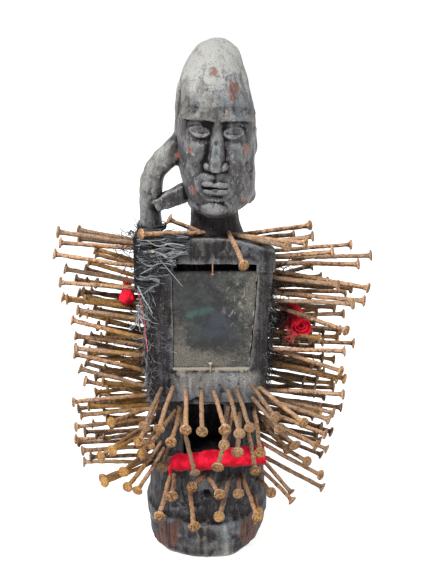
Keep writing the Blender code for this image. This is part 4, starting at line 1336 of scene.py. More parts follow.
# Nails of the front and of the lower sides, with how far they stand out.
MORE_FRONT = [
    (158, 400, 138.8, 442.4, 84, "t"),
    (180, 409, 171, 442.7, 82, "t"),
    (170, 446, 162.7, 467.3, 70, "d"),
    (179.5, 408, 195, 473.7, 86, "t"),
    (228, 408, 224, 445.4, 82, "t"),
    (234.5, 409, 217.5, 468.2, 86, "t"),
    (246.8, 424, 255.6, 472, 86, "t"),
    (253, 398, 280, 429, 84, "t"),
    (174, 475, 172, 496.6, 66, "t"),
    (206, 474, 191.6, 487.3, 60, "t"),
    (207, 476, 219.6, 494.7, 64, "t"),
    (239, 478, 238.3, 494, 58, "t"),
    (259, 478, 271.4, 493, 62, "t"),
    (254, 495, 258, 512, 60, "y"),
    (151, 408, 110.4, 422.6, 84, "t"),
    (146, 426, 100, 457, 84, "t"),
    (152, 434, 142, 454, 78, "d"),
    (150, 448, 122.9, 472, 80, "t"),
    (150, 458, 102, 479, 84, "t"),
    (151, 463, 104, 482.5, 84, "y"),
    (161, 442.6, 126.8, 487.8, 86, "t"),
    (164, 448.3, 137, 491, 84, "t"),
    (150, 430, 112, 451, 80, "y"),
    (258, 413.5, 295.5, 445.7, 82, "t"),
    (262, 417, 316.6, 445.7, 84, "t"),
    (262, 436, 307.6, 461.8, 84, "t"),
    (262, 424, 288, 449, 80, "d"),
    (232, 234.5, 288.5, 246.7, 84, "t"),
    (232, 234, 306.8, 243.5, 92, "t"),
    (240, 234.5, 310.8, 225.2, 84, "t"),
    (201, 232, 168, 219, 40, "t"),
]


def choose_nail(options):
    """Of several (entry, top), the one that keeps clearest of the rest."""
    best = None
    for entry, top in options:
        e, t = np.array(entry) * 1000, np.array(top) * 1000
        a = (t - e) / np.linalg.norm(t - e)
        e2 = e - a * DRIVEN
        room = apart(e, t, placed).min()
        if best is None or room > best[0]:
            best = (room, e2, t)
    return best


def more_nails(name, rows, side):
    shapes, tones, golden, dark = [], [], [], []
    for i, row in enumerate(rows):
        kind = row[-1]
        options = []
        if side:
            u0, v0, u1, v1 = row[:4]
            depths = (-36, -28, -20, -12, -4, 4, 12, 20, 28, 36)
            if kind == "d":
                depths = (12, 20, 28, 34, 38)
            elif kind == "y":
                depths = (-6, 2, 10, 18, 26, 34)
            elif kind == "r":
                depths = (6, 14, 22, 30)
            for y in depths:
                entry = on_side(u0, v0, u1, v1, side, y / 1000)
                for lean in (-12, -6, 0, 6, 12):
                    options.append((entry, head_point(entry, u1, v1, lean, None)))
        else:
            u0, v0, u1, v1, out = row[:5]
            entry = on_front(u0, v0, u1, v1)
            if entry is None:
                continue
            for k in (1.0, 0.94, 1.06, 0.88):
                options.append((entry, head_point(entry, u1, v1, 0, out * k / 1000)))
        room, foot, top = choose_nail(options)
        placed.append((foot, top))
        shape = nail_shape(foot, top, 700 + i + (0 if side < 0 else 50 + 50 * side))
        rnd = np.random.default_rng(1700 + i)
        shapes.append(shape)
        tones.append(
            {
                "t": rnd.uniform(0.65, 1.0) if side else rnd.uniform(0.45, 0.85),
                "y": rnd.uniform(0.5, 0.8),
                "d": rnd.uniform(0.2, 0.5),
                "r": rnd.uniform(0.3, 0.6),
            }[kind]
        )
        golden.append(np.full(len(shape[0]), {"t": 0.12, "y": 0.8 if side else 0.5, "d": 0.15, "r": 0.8}[kind]))
        dark.append(np.full(len(shape[0]), {"t": 0.0, "y": 0.1, "d": 0.62, "r": 0.30}[kind]))
    mesh = join_nails(name, shapes, tones)
    spread_fields(mesh, np.concatenate(golden), np.concatenate(dark))
    return piece(name, mesh, IRON)


def rear_nails(side, count, seed):
    """Short dark nails of the hindmost rows, as rows for more_nails."""
    rnd = np.random.default_rng(seed)
    rows = []
    for i in range(count):
        v = (284 if side < 0 else 262) + (152 if side < 0 else 174) * (i + rnd.uniform(0.1, 0.9)) / count
        fan = (v - 300) * 0.13
        if side < 0:
            u0 = 131 + (v - 250) * 0.07
            rows.append((u0, v, u0 - rnd.uniform(30, 52), v - 5 + rnd.normal(0, 3) + fan * 0.6, "rd"[rnd.uniform() < 0.75]))
        else:
            u0 = 281 - (v - 250) * 0.05
            rows.append((u0, v, u0 + rnd.uniform(28, 50), v + rnd.normal(0, 3) + fan * 0.8, "rd"[rnd.uniform() < 0.8]))
    return rows


more_nails("more_nails_left", MORE_LEFT, -1)
more_nails("more_nails_right", MORE_RIGHT, 1)
more_nails("more_nails_front", MORE_FRONT, 0)
more_nails("rear_nails_left", rear_nails(-1, 27, 5), -1)
more_nails("rear_nails_right", rear_nails(1, 23, 6), 1)

# ---------------------------------------------------------------- plant fibre
def fibre_material():
    m = Nodes("dry_fibre")
    tone = m.attribute("tone")
    fine = m.noise(0.0010, 3, 0.6, seed=3)
    line = m.noise(0.0011, 3, 0.65, (0.10, 0.10, 1.0), 5, 0.3)
    shade = m.math("ADD", tone, m.math("MULTIPLY", m.math("SUBTRACT", line, 0.5), 0.9))
    low = m.mix(m.ramp(shade, 0.0, 0.5), (0.008, 0.008, 0.009), (0.075, 0.078, 0.088))
    colour = m.mix(m.ramp(shade, 0.45, 1.0), low, (0.40, 0.41, 0.42))
    colour = m.mix(m.ramp(m.math("ADD", m.attribute("warm"), m.math("MULTIPLY", fine, 0.3)), 0.45, 0.8), colour, (0.36, 0.27, 0.18))
    n = m.bump(line, 0.0009, 0.9)
    n = m.bump(fine, 0.0004, 0.6, n)
    return m.done(colour, 0.82, n, spec=0.12)


FIBRE = fibre_material()


def mat_edge(z):
    """Where the bound fibre ends on the chest's front, in millimetres."""
    return np.interp(z, (291, 300, 318, 333, 352), (-53, -47, -32, -17, -14.5))


def mat_shape(p):
    x, y, z = p[:, 0], p[:, 1], p[:, 2]
    fold = noise(p.astype(np.float32), (14, 14, 3.6), 2)
    outer = block(
        x, y + 0.9 * fold, z, -70.6, 20, -50.2, 23 + 3 * fold, 291 + 1.5 * fold, 348.5 + 1.2 * fold, 3
    )
    over = z + 0.22 * (y - FRONT) - 346.3 - 1.0 * fold
    outer = smax(outer, over, 2)
    # back over the shoulder it stops short of the arm's back
    outer = smax(outer, y + 22 - 60 * step01(-62, -66, x), 1.5)
    ragged = 2.6 * noise(p.astype(np.float32), (5, 5, 2.4), 4)
    outer = smax(outer, x - mat_edge(z) - ragged, 1.2)
    return smax(outer, -(carved(p) - 0.15), 0.2)


mat_v, mat_q = net(mat_shape, (-75, -56, 284), (-6, 32, 356), 1.3)
mat_mesh = make_mesh("bound_fibre", mat_v / 1000, mat_q)
fold = noise(mat_v.astype(np.float32), (11, 11, 2.2), 6)
field(mat_mesh, "tone", 0.04 + 0.22 * fold)
field(mat_mesh, "warm", np.zeros(len(mat_v)))
mat_mesh.shade_smooth()
piece("bound_fibre", mat_mesh, FIBRE, ("fibre_binding",))


def tubes(name, routes, radii, tones, warms=None, sides=4):
    """One mesh of thin strands along routes of points, in millimetres."""
    verts, quads, tone, warm = [], [], [], []
    start = 0
    theta = 2 * np.pi * np.arange(sides) / sides
    ring_c, ring_s = np.cos(theta), np.sin(theta)
    warms = np.zeros(len(routes)) if warms is None else warms
    for k, (route, r, tn, wm) in enumerate(zip(routes, radii, tones, warms)):
        route = np.asarray(route, float)
        n = len(route)
        go = np.gradient(route, axis=0)
        go /= np.maximum(np.linalg.norm(go, axis=1), 1e-6)[:, None]
        up = np.tile((0.3, 0.5, 0.81), (n, 1))
        side = np.cross(go, up)
        side /= np.maximum(np.linalg.norm(side, axis=1), 1e-3)[:, None]
        other = np.cross(side, go)
        size = r * (0.45 + 0.55 * np.sin(np.pi * np.linspace(0.08, 0.92, n)) ** 0.5)
        pts = (
            route[:, None]
            + size[:, None, None] * ring_c[None, :, None] * side[:, None]
            + size[:, None, None] * ring_s[None, :, None] * other[:, None]
        )
        i, j = np.meshgrid(np.arange(n - 1), np.arange(sides), indexing="ij")
        l = (j + 1) % sides
        q = np.stack([i * sides + j, i * sides + l, (i + 1) * sides + l, (i + 1) * sides + j], -1)
        verts.append(pts.reshape(-1, 3))
        quads.append(q.reshape(-1, 4) + start)
        start += n * sides
        tone.append(np.full(n * sides, tn))
        warm.append(np.full(n * sides, wm))
    mesh = make_mesh(name, np.concatenate(verts) / 1000, np.concatenate(quads))
    field(mesh, "tone", np.concatenate(tone))
    field(mesh, "warm", np.concatenate(warm))
    mesh.shade_smooth()
    return mesh


def wander(a, b, rnd, n, much, sag=0.0):
    """A slightly wavering route from a to b."""
    t = np.linspace(0, 1, n)[:, None]
    a, b = np.asarray(a, float), np.asarray(b, float)
    line = a + (b - a) * t
    for k in (1, 2, 3, 5):
        line += (
            rnd.normal(0, much / k, 3)[None]
            * np.sin(np.pi * k * t + rnd.uniform(0, 6.28, 3)[None])
            * np.sin(np.pi * t) ** 0.4
        )
    line[:, 2] -= sag * np.sin(np.pi * t[:, 0])
    return line


def curl(at, rnd, long, curly, n=12, lead=None, pull=0.0):
    """A short curly fibre that starts at a point."""
    d = rnd.normal(0, 1, 3) if lead is None else np.asarray(lead, float) + rnd.normal(0, 0.45, 3)
    d /= np.linalg.norm(d)
    axis = rnd.normal(0, 1, 3)
    axis /= np.linalg.norm(axis)
    out = [np.asarray(at, float)]
    step = long / (n - 1)
    for _ in range(n - 1):
        axis += rnd.normal(0, 0.35, 3)
        axis /= np.linalg.norm(axis)
        d = d + np.cross(axis, d) * curly * step
        d[2] -= pull * step
        d /= np.linalg.norm(d)
        out.append(out[-1] + d * step)
    # a short one needs fewer points
    if long < 9:
        out = out[::2] + out[-1:]
    return np.array(out)


def around(s, z, off):
    """A point s along the binding, from its end on the front round the corner to
    the side and back, at a height, off millimetres out from it."""
    r = 4.0 + off
    front = 50.5
    arc = 1.5708 * r
    if s < front:
        return (-13.0 - s, -50.4 - off, z)
    if s < front + arc:
        a = (s - front) / r
        return (-63.5 - r * math.sin(a), -46.4 - r * math.cos(a), z)
    return (-67.5 - off, -46.4 + (s - front - arc), z)


rnd = np.random.default_rng(41)
routes, radii, tones, warms = [], [], [], []


def snap(at):
    """The nearest point on the wood, in millimetres."""
    hit = skin.find_nearest(Vector(at) / 1000)
    return np.array(hit[0] + hit[1] * 0.0002) * 1000


def strand(route, r, tone, warm=0.0):
    routes.append(route)
    radii.append(r)
    tones.append(tone)
    warms.append(warm)


# strands wound round the shoulder
for i in range(210):
    z = rnd.uniform(290, 347)
    begin = -13.0 - mat_edge(z) + rnd.normal(0, 3.5)
    end = rnd.uniform(52, 118)
    if rnd.uniform() < 0.45:
        begin = rnd.uniform(begin, 55)
    n = 12 if rnd.uniform() < 0.5 else 16
    s = np.linspace(begin, max(end, begin + 16), n)
    slope = rnd.normal(0, 0.05)
    wave = rnd.normal(0, 1.3)
    off = rnd.uniform(-0.4, 0.9)
    route = [
        around(
            a,
            z + slope * (a - begin) + wave * math.sin(a / 9 + i) + 0.5 * math.sin(a / 3.1 + 2 * i),
            off + 0.45 * math.sin(a / 5 + 3 * i),
        )
        for a in s
    ]
    light = rnd.uniform() ** 2.2
    strand(route, rnd.uniform(0.20, 0.44), 0.05 + 0.75 * light)
# thicker locks of several strands, in wandering lines
for i in range(34):
    z = rnd.uniform(292, 346)
    x0 = min(float(mat_edge(z)) + rnd.uniform(-6, 4), -16)
    long = rnd.uniform(12, 40)
    slope = rnd.normal(0.05, 0.28)
    n = 14
    s = np.linspace(-13.0 - x0, -13.0 - x0 + long, n)
    wave, turn = rnd.uniform(0.8, 2.8), rnd.uniform(3.5, 9)
    phase = rnd.uniform(0, 6.28)
    tone = rnd.choice((0.15, 0.45, 0.75, 1.0))
    for k in range(rnd.integers(4, 8)):
        dz, do = rnd.normal(0, 0.65), rnd.uniform(0, 0.9)
        bend_k = rnd.normal(0, 0.4)
        route = []
        for a in s:
            zz = z + slope * (a - s[0]) + wave * math.sin(a / turn + phase) + dz + bend_k * math.sin(a / 4 + k)
            zz = min(max(zz, 289), 348)
            route.append(around(a, zz, 0.9 + do + 0.5 * math.sin(a / 6 + phase)))
        strand(route, rnd.uniform(0.22, 0.42), tone * rnd.uniform(0.6, 1.05))
# over the shoulder and round the foot of the arm
for i in range(90):
    x0 = rnd.uniform(-70, -24)
    a = (x0, rnd.uniform(-50.5, -48), rnd.uniform(344, 348))
    b = (x0 + rnd.normal(0, 12), rnd.uniform(-36, -20), 343.5 + rnd.uniform(-1.5, 3))
    strand(wander(a, b, rnd, 9, 1.4), rnd.uniform(0.22, 0.45), rnd.uniform(0.1, 0.95))
for i in range(46):
    turn = np.linspace(0, rnd.uniform(1.6, 3.6), 14) + rnd.uniform(2.6, 4.6)
    a, b = 13.2 + rnd.uniform(-0.6, 1.5), 16.6 + rnd.uniform(-0.8, 1.6)
    z = 341 + 5.5 * rnd.uniform() + rnd.normal(0, 0.6) * np.sin(turn * 2)
    route = np.stack([-55.0 + a * np.cos(turn), b * np.sin(turn) - 1, z + 0 * turn], 1)
    strand(route, rnd.uniform(0.25, 0.5), rnd.uniform(0.1, 0.8))
# loose strands across the front of the binding
for i in range(70):
    z = rnd.uniform(292, 345)
    x = rnd.uniform(-68, float(mat_edge(z)) - 2)
    way = rnd.uniform(-0.7, 0.7) + (3.14 if rnd.uniform() < 0.5 else 0)
    long = rnd.uniform(10, 30)
    b = (x + long * math.cos(way), -51.3 + rnd.normal(0, 0.6), z + long * math.sin(way))
    if b[0] < -70 or b[0] > mat_edge(b[2]) + 2 or not 289 < b[2] < 350:
        continue
    strand(wander((x, -51.2, z), b, rnd, 10, 1.0), rnd.uniform(0.2, 0.42), rnd.uniform(0.35, 1.0))
# frizz
for i in range(150):
    z = rnd.uniform(290, 348)
    s = rnd.uniform(-13.0 - float(mat_edge(z)), 60)
    at = around(s, z, rnd.uniform(-0.3, 0.5))
    strand(curl(at, rnd, rnd.uniform(3, 6) if s > -3 else rnd.uniform(4, 11), 0.35), rnd.uniform(0.16, 0.3), rnd.uniform(0.2, 1.0))
for i in range(60):
    at = snap((rnd.uniform(-69, -42), rnd.uniform(-44, -14), 350)) + np.array((0, 0, 1.0))
    strand(curl(at, rnd, rnd.uniform(4, 9), 0.4), rnd.uniform(0.16, 0.3), rnd.uniform(0.2, 0.9))
# frayed down the chest's front corner, below the binding
for i in range(170):
    z = 182 + 112 * rnd.uniform() ** 0.7
    at = (-59.5 + rnd.uniform(-4.2, 4.5), -47.4 + rnd.uniform(-0.2, 0.6), z)
    strand(
        curl(at, rnd, rnd.uniform(6, 18), 0.14, lead=(-0.2, -0.05, -1.0), pull=0.03),
        rnd.uniform(0.16, 0.34),
        rnd.uniform(0.25, 0.95),
        0.3 * (rnd.uniform() < 0.3),
    )
# a dark tangle among the nails of that side
for i in range(400):
    z = rnd.uniform(185, 335)
    side = -1 if rnd.uniform() < 0.56 else 1
    edge_x = 61.5 + (z - 185) * 0.035
    out = abs(rnd.normal(0, 9.0)) + 1.0
    at = (side * (edge_x + out), rnd.uniform(-22, 34), z)
    if (side < 0 and 266 < z < 304 and at[1] < 12) or (side > 0 and z > 305):
        continue
    strand(
        curl(at, rnd, rnd.uniform(8, 22), 0.16, lead=(side * 0.8, rnd.normal(0, 0.3), rnd.normal(0, 0.5))),
        rnd.uniform(0.22, 0.5),
        rnd.uniform(0.0, 0.35),
        0.25 * (rnd.uniform() < 0.25),
    )
# and thicker beside the right roll
for i in range(90):
    u, v = rnd.uniform(268, 288), rnd.uniform(306, 334)
    at = np.array(at_depth(u, v, rnd.uniform(-0.018, 0.028))) * 1000
    strand(
        curl(at, rnd, rnd.uniform(8, 20), 0.16, lead=(0.9, rnd.normal(0, 0.3), rnd.normal(0, 0.5))),
        rnd.uniform(0.22, 0.5),
        rnd.uniform(0.0, 0.45),
        0.25 * (rnd.uniform() < 0.25),
    )
# pale curly down on the chest's right edge
for i in range(430):
    v = rnd.uniform(284, 398)
    u = 274.5 - (v - 284) * 0.055 + rnd.normal(0, 2.6)
    at = np.array(at_depth(u, v, -0.044)) * 1000
    at = snap(at)
    strand(curl(at, rnd, rnd.uniform(4, 10), 0.40, lead=(0.4, -0.4, rnd.normal(0, 0.5))), rnd.uniform(0.18, 0.36), 0.75 * rnd.uniform(0, 1) ** 1.8, 0.12)
# pale strands that hang beside the thread
for i in range(16):
    v = rnd.uniform(303, 316)
    u = 138.4 + rnd.normal(0, 1.3)
    at = np.array(at_depth(u, v, -0.050 + rnd.normal(0, 0.002))) * 1000
    strand(
        curl(at, rnd, rnd.uniform(9, 20), 0.12, lead=(0.05, -0.05, -1.0), pull=0.03),
        rnd.uniform(0.24, 0.42),
        rnd.uniform(0.5, 1.0),
        0.2,
    )
# short hairs on the left strip and at the left edge
for i in range(620):
    v = 402 - 106 * rnd.uniform() ** 1.5
    if rnd.uniform() < 0.55:
        u = 143 + (v - 296) * 0.035 + abs(rnd.normal(0, 3.5))
    else:
        u = rnd.uniform(146, 173)
    at = snap(np.array(at_depth(u, v, -0.047)) * 1000)
    strand(
        curl(at, rnd, rnd.uniform(3, 8), 0.28, lead=(rnd.normal(0, 0.7), -0.08, rnd.normal(0, 0.7)), pull=0.02),
        rnd.uniform(0.12, 0.22),
        rnd.uniform(0.1, 0.85),
        0.3 * (rnd.uniform() < 0.4),
    )
# at the arm's gap and beside the neck
for u, v, n in ((166, 203, 8), (181, 204, 9), (184, 214, 6), (158, 203, 6), (160, 222, 9), (172, 196, 5)):
    for _ in range(n):
        at = snap(np.array(at_depth(u + rnd.normal(0, 2), v + rnd.normal(0, 1.5), -0.012)) * 1000)
        strand(curl(at, rnd, rnd.uniform(3, 7), 0.4), rnd.uniform(0.16, 0.3), rnd.uniform(0.1, 0.7))
# a web of fibres low on the base
for i in range(36):
    u = rnd.uniform(163, 206)
    v = 507 + (u - 163) * 0.42 + rnd.normal(0, 2.0)
    at = snap(np.array(at_depth(u, v, -0.0745)) * 1000)
    strand(curl(at, rnd, rnd.uniform(6, 16), 0.12, lead=(rnd.choice((-1, 1)), 0, -0.4)), rnd.uniform(0.13, 0.2), rnd.uniform(0.5, 0.95))


def from_view(points):
    """A route through places of the front view (u, v, y in metres)."""
    return smooth_route([tuple(at_depth(*p) * 1000) for p in points], 1.0)[0]


# the straight diagonal fibre, the twisted light strand and the light upright one
strand(from_view([(157.5, 257, -0.0522), (170, 271.5, -0.0520), (182.5, 286.5, -0.0478)]), 0.34, 1.0, 0.3)
for k in range(2):
    base = from_view([(137.6, 286, -0.0520), (143, 297, -0.0535), (148.5, 306, -0.0515), (152.5, 313.5, -0.0480)])
    t = np.arange(len(base)) / 1.3 + 3.14 * k
    base[:, 0] += 0.42 * np.cos(t)
    base[:, 2] += 0.42 * np.sin(t)
    strand(base, 0.5, 0.95, 0.15)
strand(from_view([(141.5, 303, -0.0495), (139, 313, -0.0490), (138.5, 322, -0.0490), (140.2, 331.5, -0.0488)]), 0.6, 0.85, 0.2)
strand(from_view([(146, 240, -0.0525), (158, 246, -0.0530), (172, 243.5, -0.0525), (188, 247, -0.0510)]), 0.55, 0.9, 0.1)
strand(from_view([(141, 262, -0.0525), (150, 266, -0.0530), (163, 263, -0.0525), (176, 266, -0.0505)]), 0.5, 0.75, 0.1)
strand_mesh = tubes("fibre_strands", routes, radii, tones, warms, 4)
piece("fibre_strands", strand_mesh, FIBRE)
print("strands", len(routes), "faces", len(strand_mesh.polygons) * 2)

# a cream bead among the strands
bead_at = at_depth(152.5, 251, -0.0530)
bm = bmesh.new()
bmesh.ops.create_uvsphere(bm, u_segments=18, v_segments=12, radius=0.0019)
bmesh.ops.scale(bm, vec=(1.15, 0.95, 0.9), verts=bm.verts)
bmesh.ops.translate(bm, vec=bead_at, verts=bm.verts)
bead_mesh = bpy.data.meshes.new("pale_bead")
bm.to_mesh(bead_mesh)
bm.free()
bead_mesh.shade_smooth()
b = Nodes("pale_bead")
bead_mat = b.done(b.mix(b.ramp(b.noise(0.0012, 3), 0.3, 0.7), (0.34, 0.27, 0.19), (0.60, 0.53, 0.42)), 0.5)
piece("pale_bead", bead_mesh, bead_mat)


# ---------------------------------------------------------------- cover and pins
def pane_material():
    m = Nodes("old_pane")
    fine = m.noise(0.0008, 3, 0.7, seed=2)
    soft = m.noise(0.013, 4, 0.6, seed=5, warp=0.5)
    grime = m.noise(0.0042, 4, 0.65, seed=8, warp=0.4)
    paleness = m.attribute("paleness")
    blue = m.attribute("blue")
    teal = m.attribute("teal")
    base = m.mix(m.ramp(soft, 0.38, 0.66), (0.010, 0.011, 0.011), (0.028, 0.032, 0.030))
    base = m.mix(m.ramp(m.math("ADD", blue, m.math("SUBTRACT", soft, 0.5)), 0.15, 0.9), base, (0.022, 0.028, 0.046))
    amount = m.math("ADD", paleness, m.math("MULTIPLY", m.math("SUBTRACT", grime, 0.5), 1.3))
    amount = m.math("ADD", amount, m.math("MULTIPLY", m.math("SUBTRACT", fine, 0.5), 0.6))
    tan = m.mix(m.ramp(fine, 0.35, 0.7), (0.070, 0.062, 0.050), (0.24, 0.22, 0.19))
    colour = m.mix(m.ramp(amount, 0.30, 1.0, 0.0, 0.85), base, tan)
    colour = m.mix(m.ramp(m.math("ADD", teal, m.math("MULTIPLY", m.math("SUBTRACT", grime, 0.5), 1.2)), 0.30, 1.25, 0.0, 0.62), colour, (0.026, 0.105, 0.092))
    speck = m.ramp(m.noise(0.0017, 2, 0.5, seed=11), 0.65, 0.73)
    colour = m.mix(m.math("MULTIPLY", speck, m.ramp(paleness, 0.1, 0.7, 0.12, 0.7)), colour, (0.32, 0.30, 0.27))
    splash = m.ramp(m.noise(0.0050, 4, 0.65, (1, 1, 0.8), 22, 0.5), 0.56, 0.64)
    colour = m.mix(m.math("MULTIPLY", splash, m.ramp(m.attribute("splash"), 0.0, 1.0, 0.0, 0.75)), colour, (0.25, 0.24, 0.21))
    scratch = m.ramp(m.noise(0.0010, 2, 0.5, (1.0, 1.0, 0.09), 34, 0.6), 0.68, 0.74)
    gate = m.ramp(m.noise(0.012, 2, 0.5, seed=16), 0.50, 0.62)
    colour = m.mix(m.math("MULTIPLY", m.math("MULTIPLY", scratch, gate), 0.35), colour, (0.26, 0.28, 0.30))
    slant = m.ramp(m.noise(0.0012, 2, 0.5, (0.09, 1.0, 1.0), 19, 0.3), 0.69, 0.74)
    colour = m.mix(m.math("MULTIPLY", m.math("MULTIPLY", slant, gate), 0.4), colour, (0.24, 0.25, 0.27))
    edge = m.attribute("edge")
    colour = m.mix(m.ramp(m.math("ADD", edge, m.math("SUBTRACT", grime, 0.5)), 0.5, 0.9, 0, 0.85), colour, (0.36, 0.35, 0.33))
    rough = m.ramp(m.math("ADD", amount, m.math("MULTIPLY", edge, 0.5)), 0.1, 0.9, 0.22, 0.8)
    n = m.bump(soft, 0.0008, 0.35)
    n = m.bump(fine, 0.0002, 0.5, n)
    return m.done(colour, rough, n, spec=0.30)


def cover_mesh():
    nx, nz = ((84, 116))
    face_y = FRONT + REBATE - CLEAR - COVER_T
    s, t = np.meshgrid(np.linspace(0, 1, nx), np.linspace(0, 1, nz), indexing="ij")
    z = COVER_LOW + (COVER_HIGH - COVER_LOW) * t
    right = COVER_R_LOW + (COVER_R_TOP - COVER_R_LOW) * t
    q = np.stack([np.full(z.size, 77.0), np.zeros(z.size), z.ravel()], 1)
    chips = 1.5 * np.clip(noise(q, 5.2, 3) - 0.05, 0, 1) + 0.5 * np.clip(noise(q, 1.9, 5), 0, 1)
    left_chips = 0.5 * np.clip(noise(q + 40, 6, 4), 0, 1)
    x = COVER_L + left_chips.reshape(z.shape) * (1 - s) + (right - COVER_L - chips.reshape(z.shape) - left_chips.reshape(z.shape) * (1 - s)) * s
    p = np.stack([x.ravel(), np.zeros(z.size), z.ravel()], 1).astype(np.float32)
    wave = 0.22 * noise(p, 32, 1) + 0.06 * noise(p, 7, 2)
    rim = np.minimum(np.minimum(s, 1 - s) * nx, np.minimum(t, 1 - t) * nz)
    y = face_y + 0.25 + wave.reshape(z.shape) + 0.55 * np.clip(1 - rim / 1.4, 0, 1) ** 2
    back = face_y + COVER_T
    front = np.stack([x, y, z], -1).reshape(-1, 3)
    rear = np.stack([x, np.full(x.shape, back), z], -1).reshape(-1, 3)
    verts = np.concatenate([front, rear])
    i, j = np.meshgrid(np.arange(nx - 1), np.arange(nz - 1), indexing="ij")
    a = (i * nz + j).ravel()
    quad = np.stack([a, a + nz, a + nz + 1, a + 1], 1)
    k = nx * nz
    quads = [quad, quad[:, ::-1] + k]
    border = [i * nz for i in range(nx)]
    border += [(nx - 1) * nz + j for j in range(1, nz)]
    border += [i * nz + nz - 1 for i in range(nx - 2, -1, -1)]
    border += [j for j in range(nz - 2, 0, -1)]
    b = np.array(border)
    c = np.roll(b, -1)
    quads.append(np.stack([b + k, c + k, c, b], 1))
    mesh = make_mesh("dark_pane", verts / 1000, np.concatenate(quads))
    p = coords(mesh) * 1000
    # dust, a bluish middle and a teal smear, by where they show
    eye = np.array(EYE)
    rel = p / 1000 - eye
    ahead = rel @ np.array((0, math.cos(LOOK_DOWN), -math.sin(LOOK_DOWN)))
    u = MID_U + rel[:, 0] / ahead * STEPS
    v = MID_V - (rel @ np.array((0, math.sin(LOOK_DOWN), math.cos(LOOK_DOWN)))) / ahead * STEPS
    low = step01(340, 364, v)
    paleness = 0.26 + 1.02 * low * step01(270, 190, u) + 0.50 * hump(u, 178, 18) * step01(300, 345, v)
    paleness += 0.34 * step01(230, 258, u) + 0.26 * hump(v, 300, 26) * step01(205, 240, u)
    paleness += 0.18 * hump(v, 277, 8) - 0.16 * hump(u, 213, 26) * hump(v, 325, 40)
    blue = 0.6 * hump(u, 218, 32) * hump(v, 326, 40) + 0.25 * hump(u, 246, 20) * hump(v, 300, 30)
    along = (u - 183) / 39.0
    away = v - (316 - 8 * along)
    teal = 0.95 * hump(away, 0, 8.5) * step01(-0.12, 0.15, along) * step01(1.25, 0.5, along)
    teal += 0.6 * hump(u, 196, 14) * hump(v, 326, 9)
    field(mesh, "paleness", paleness)
    field(mesh, "blue", blue)
    field(mesh, "teal", teal)
    field(mesh, "splash", hump(u, 238, 26) * hump(v, 304, 44))
    edge = np.zeros(len(p))
    right_at = COVER_R_LOW + (COVER_R_TOP - COVER_R_LOW) * (p[:, 2] - COVER_LOW) / (COVER_HIGH - COVER_LOW)
    edge = np.maximum(edge, step01(3.4, 1.2, right_at - p[:, 0]) * (0.6 + 0.6 * noise(p, 5, 2)))
    edge = np.maximum(edge, 0.7 * step01(1.6, 0.6, p[:, 2] - COVER_LOW))
    field(mesh, "edge", edge)
    mesh.shade_smooth()
    mesh.set_sharp_from_angle(angle=math.radians(50))
    return mesh


piece("dark_pane", cover_mesh(), pane_material(), ("cover_panel",))


def pin_material(name, dark, light, metal):
    m = Nodes(name)
    fine = m.noise(0.0007, 3, 0.6, seed=4)
    colour = m.mix(m.ramp(fine, 0.35, 0.7), dark, light)
    return m.done(colour, m.ramp(fine, 0.3, 0.7, 0.42, 0.7), m.bump(fine, 0.0002, 0.6), metal=metal)


def turned(foot, top, rows, sides=20):
    a, s, t = frame_for(np.asarray(top) - np.asarray(foot))
    theta = 2 * np.pi * np.arange(sides) / sides
    pts = [
        np.asarray(foot) + a * h + r * (np.outer(np.cos(theta), s) + np.outer(np.sin(theta), t))
        for r, h in rows
    ]
    n = len(rows)
    i, j = np.meshgrid(np.arange(n - 1), np.arange(sides), indexing="ij")
    k = (j + 1) % sides
    q = np.stack([i * sides + j, i * sides + k, (i + 1) * sides + k, (i + 1) * sides + j], -1)
    return np.concatenate(pts), q.reshape(-1, 4)


for name, dark, light, metal in (
    ("cover_pin_top", (0.20, 0.085, 0.045), (0.50, 0.24, 0.14), 0.35),
    ("cover_pin_bottom", (0.26, 0.22, 0.17), (0.62, 0.58, 0.50), 0.35),
):
    foot, top = nail_axis(nodes[name])
    long = float(np.linalg.norm(top - foot))
    rows = [(0.02, 0), (0.5, 1.0), (0.66, 2.0)]
    rows += [(0.68, h) for h in np.linspace(2.6, long - 2.4, 6)]
    rows += [
        (0.75, long - 1.7),
        (1.4, long - 1.25),
        (2.05, long - 0.95),
        (2.15, long - 0.6),
        (1.8, long - 0.2),
        (1.0, long - 0.02),
        (0.05, long),
    ]
    v, q = turned(foot, top, rows)
    v = v + 0.05 * noise(v.astype(np.float32), 1.2, 2)[:, None]
    mesh = make_mesh("turned_" + name, v / 1000, q)
    mesh.shade_smooth()
    piece("turned_" + name, mesh, pin_material(name + "_metal", dark, light, metal), (name,))


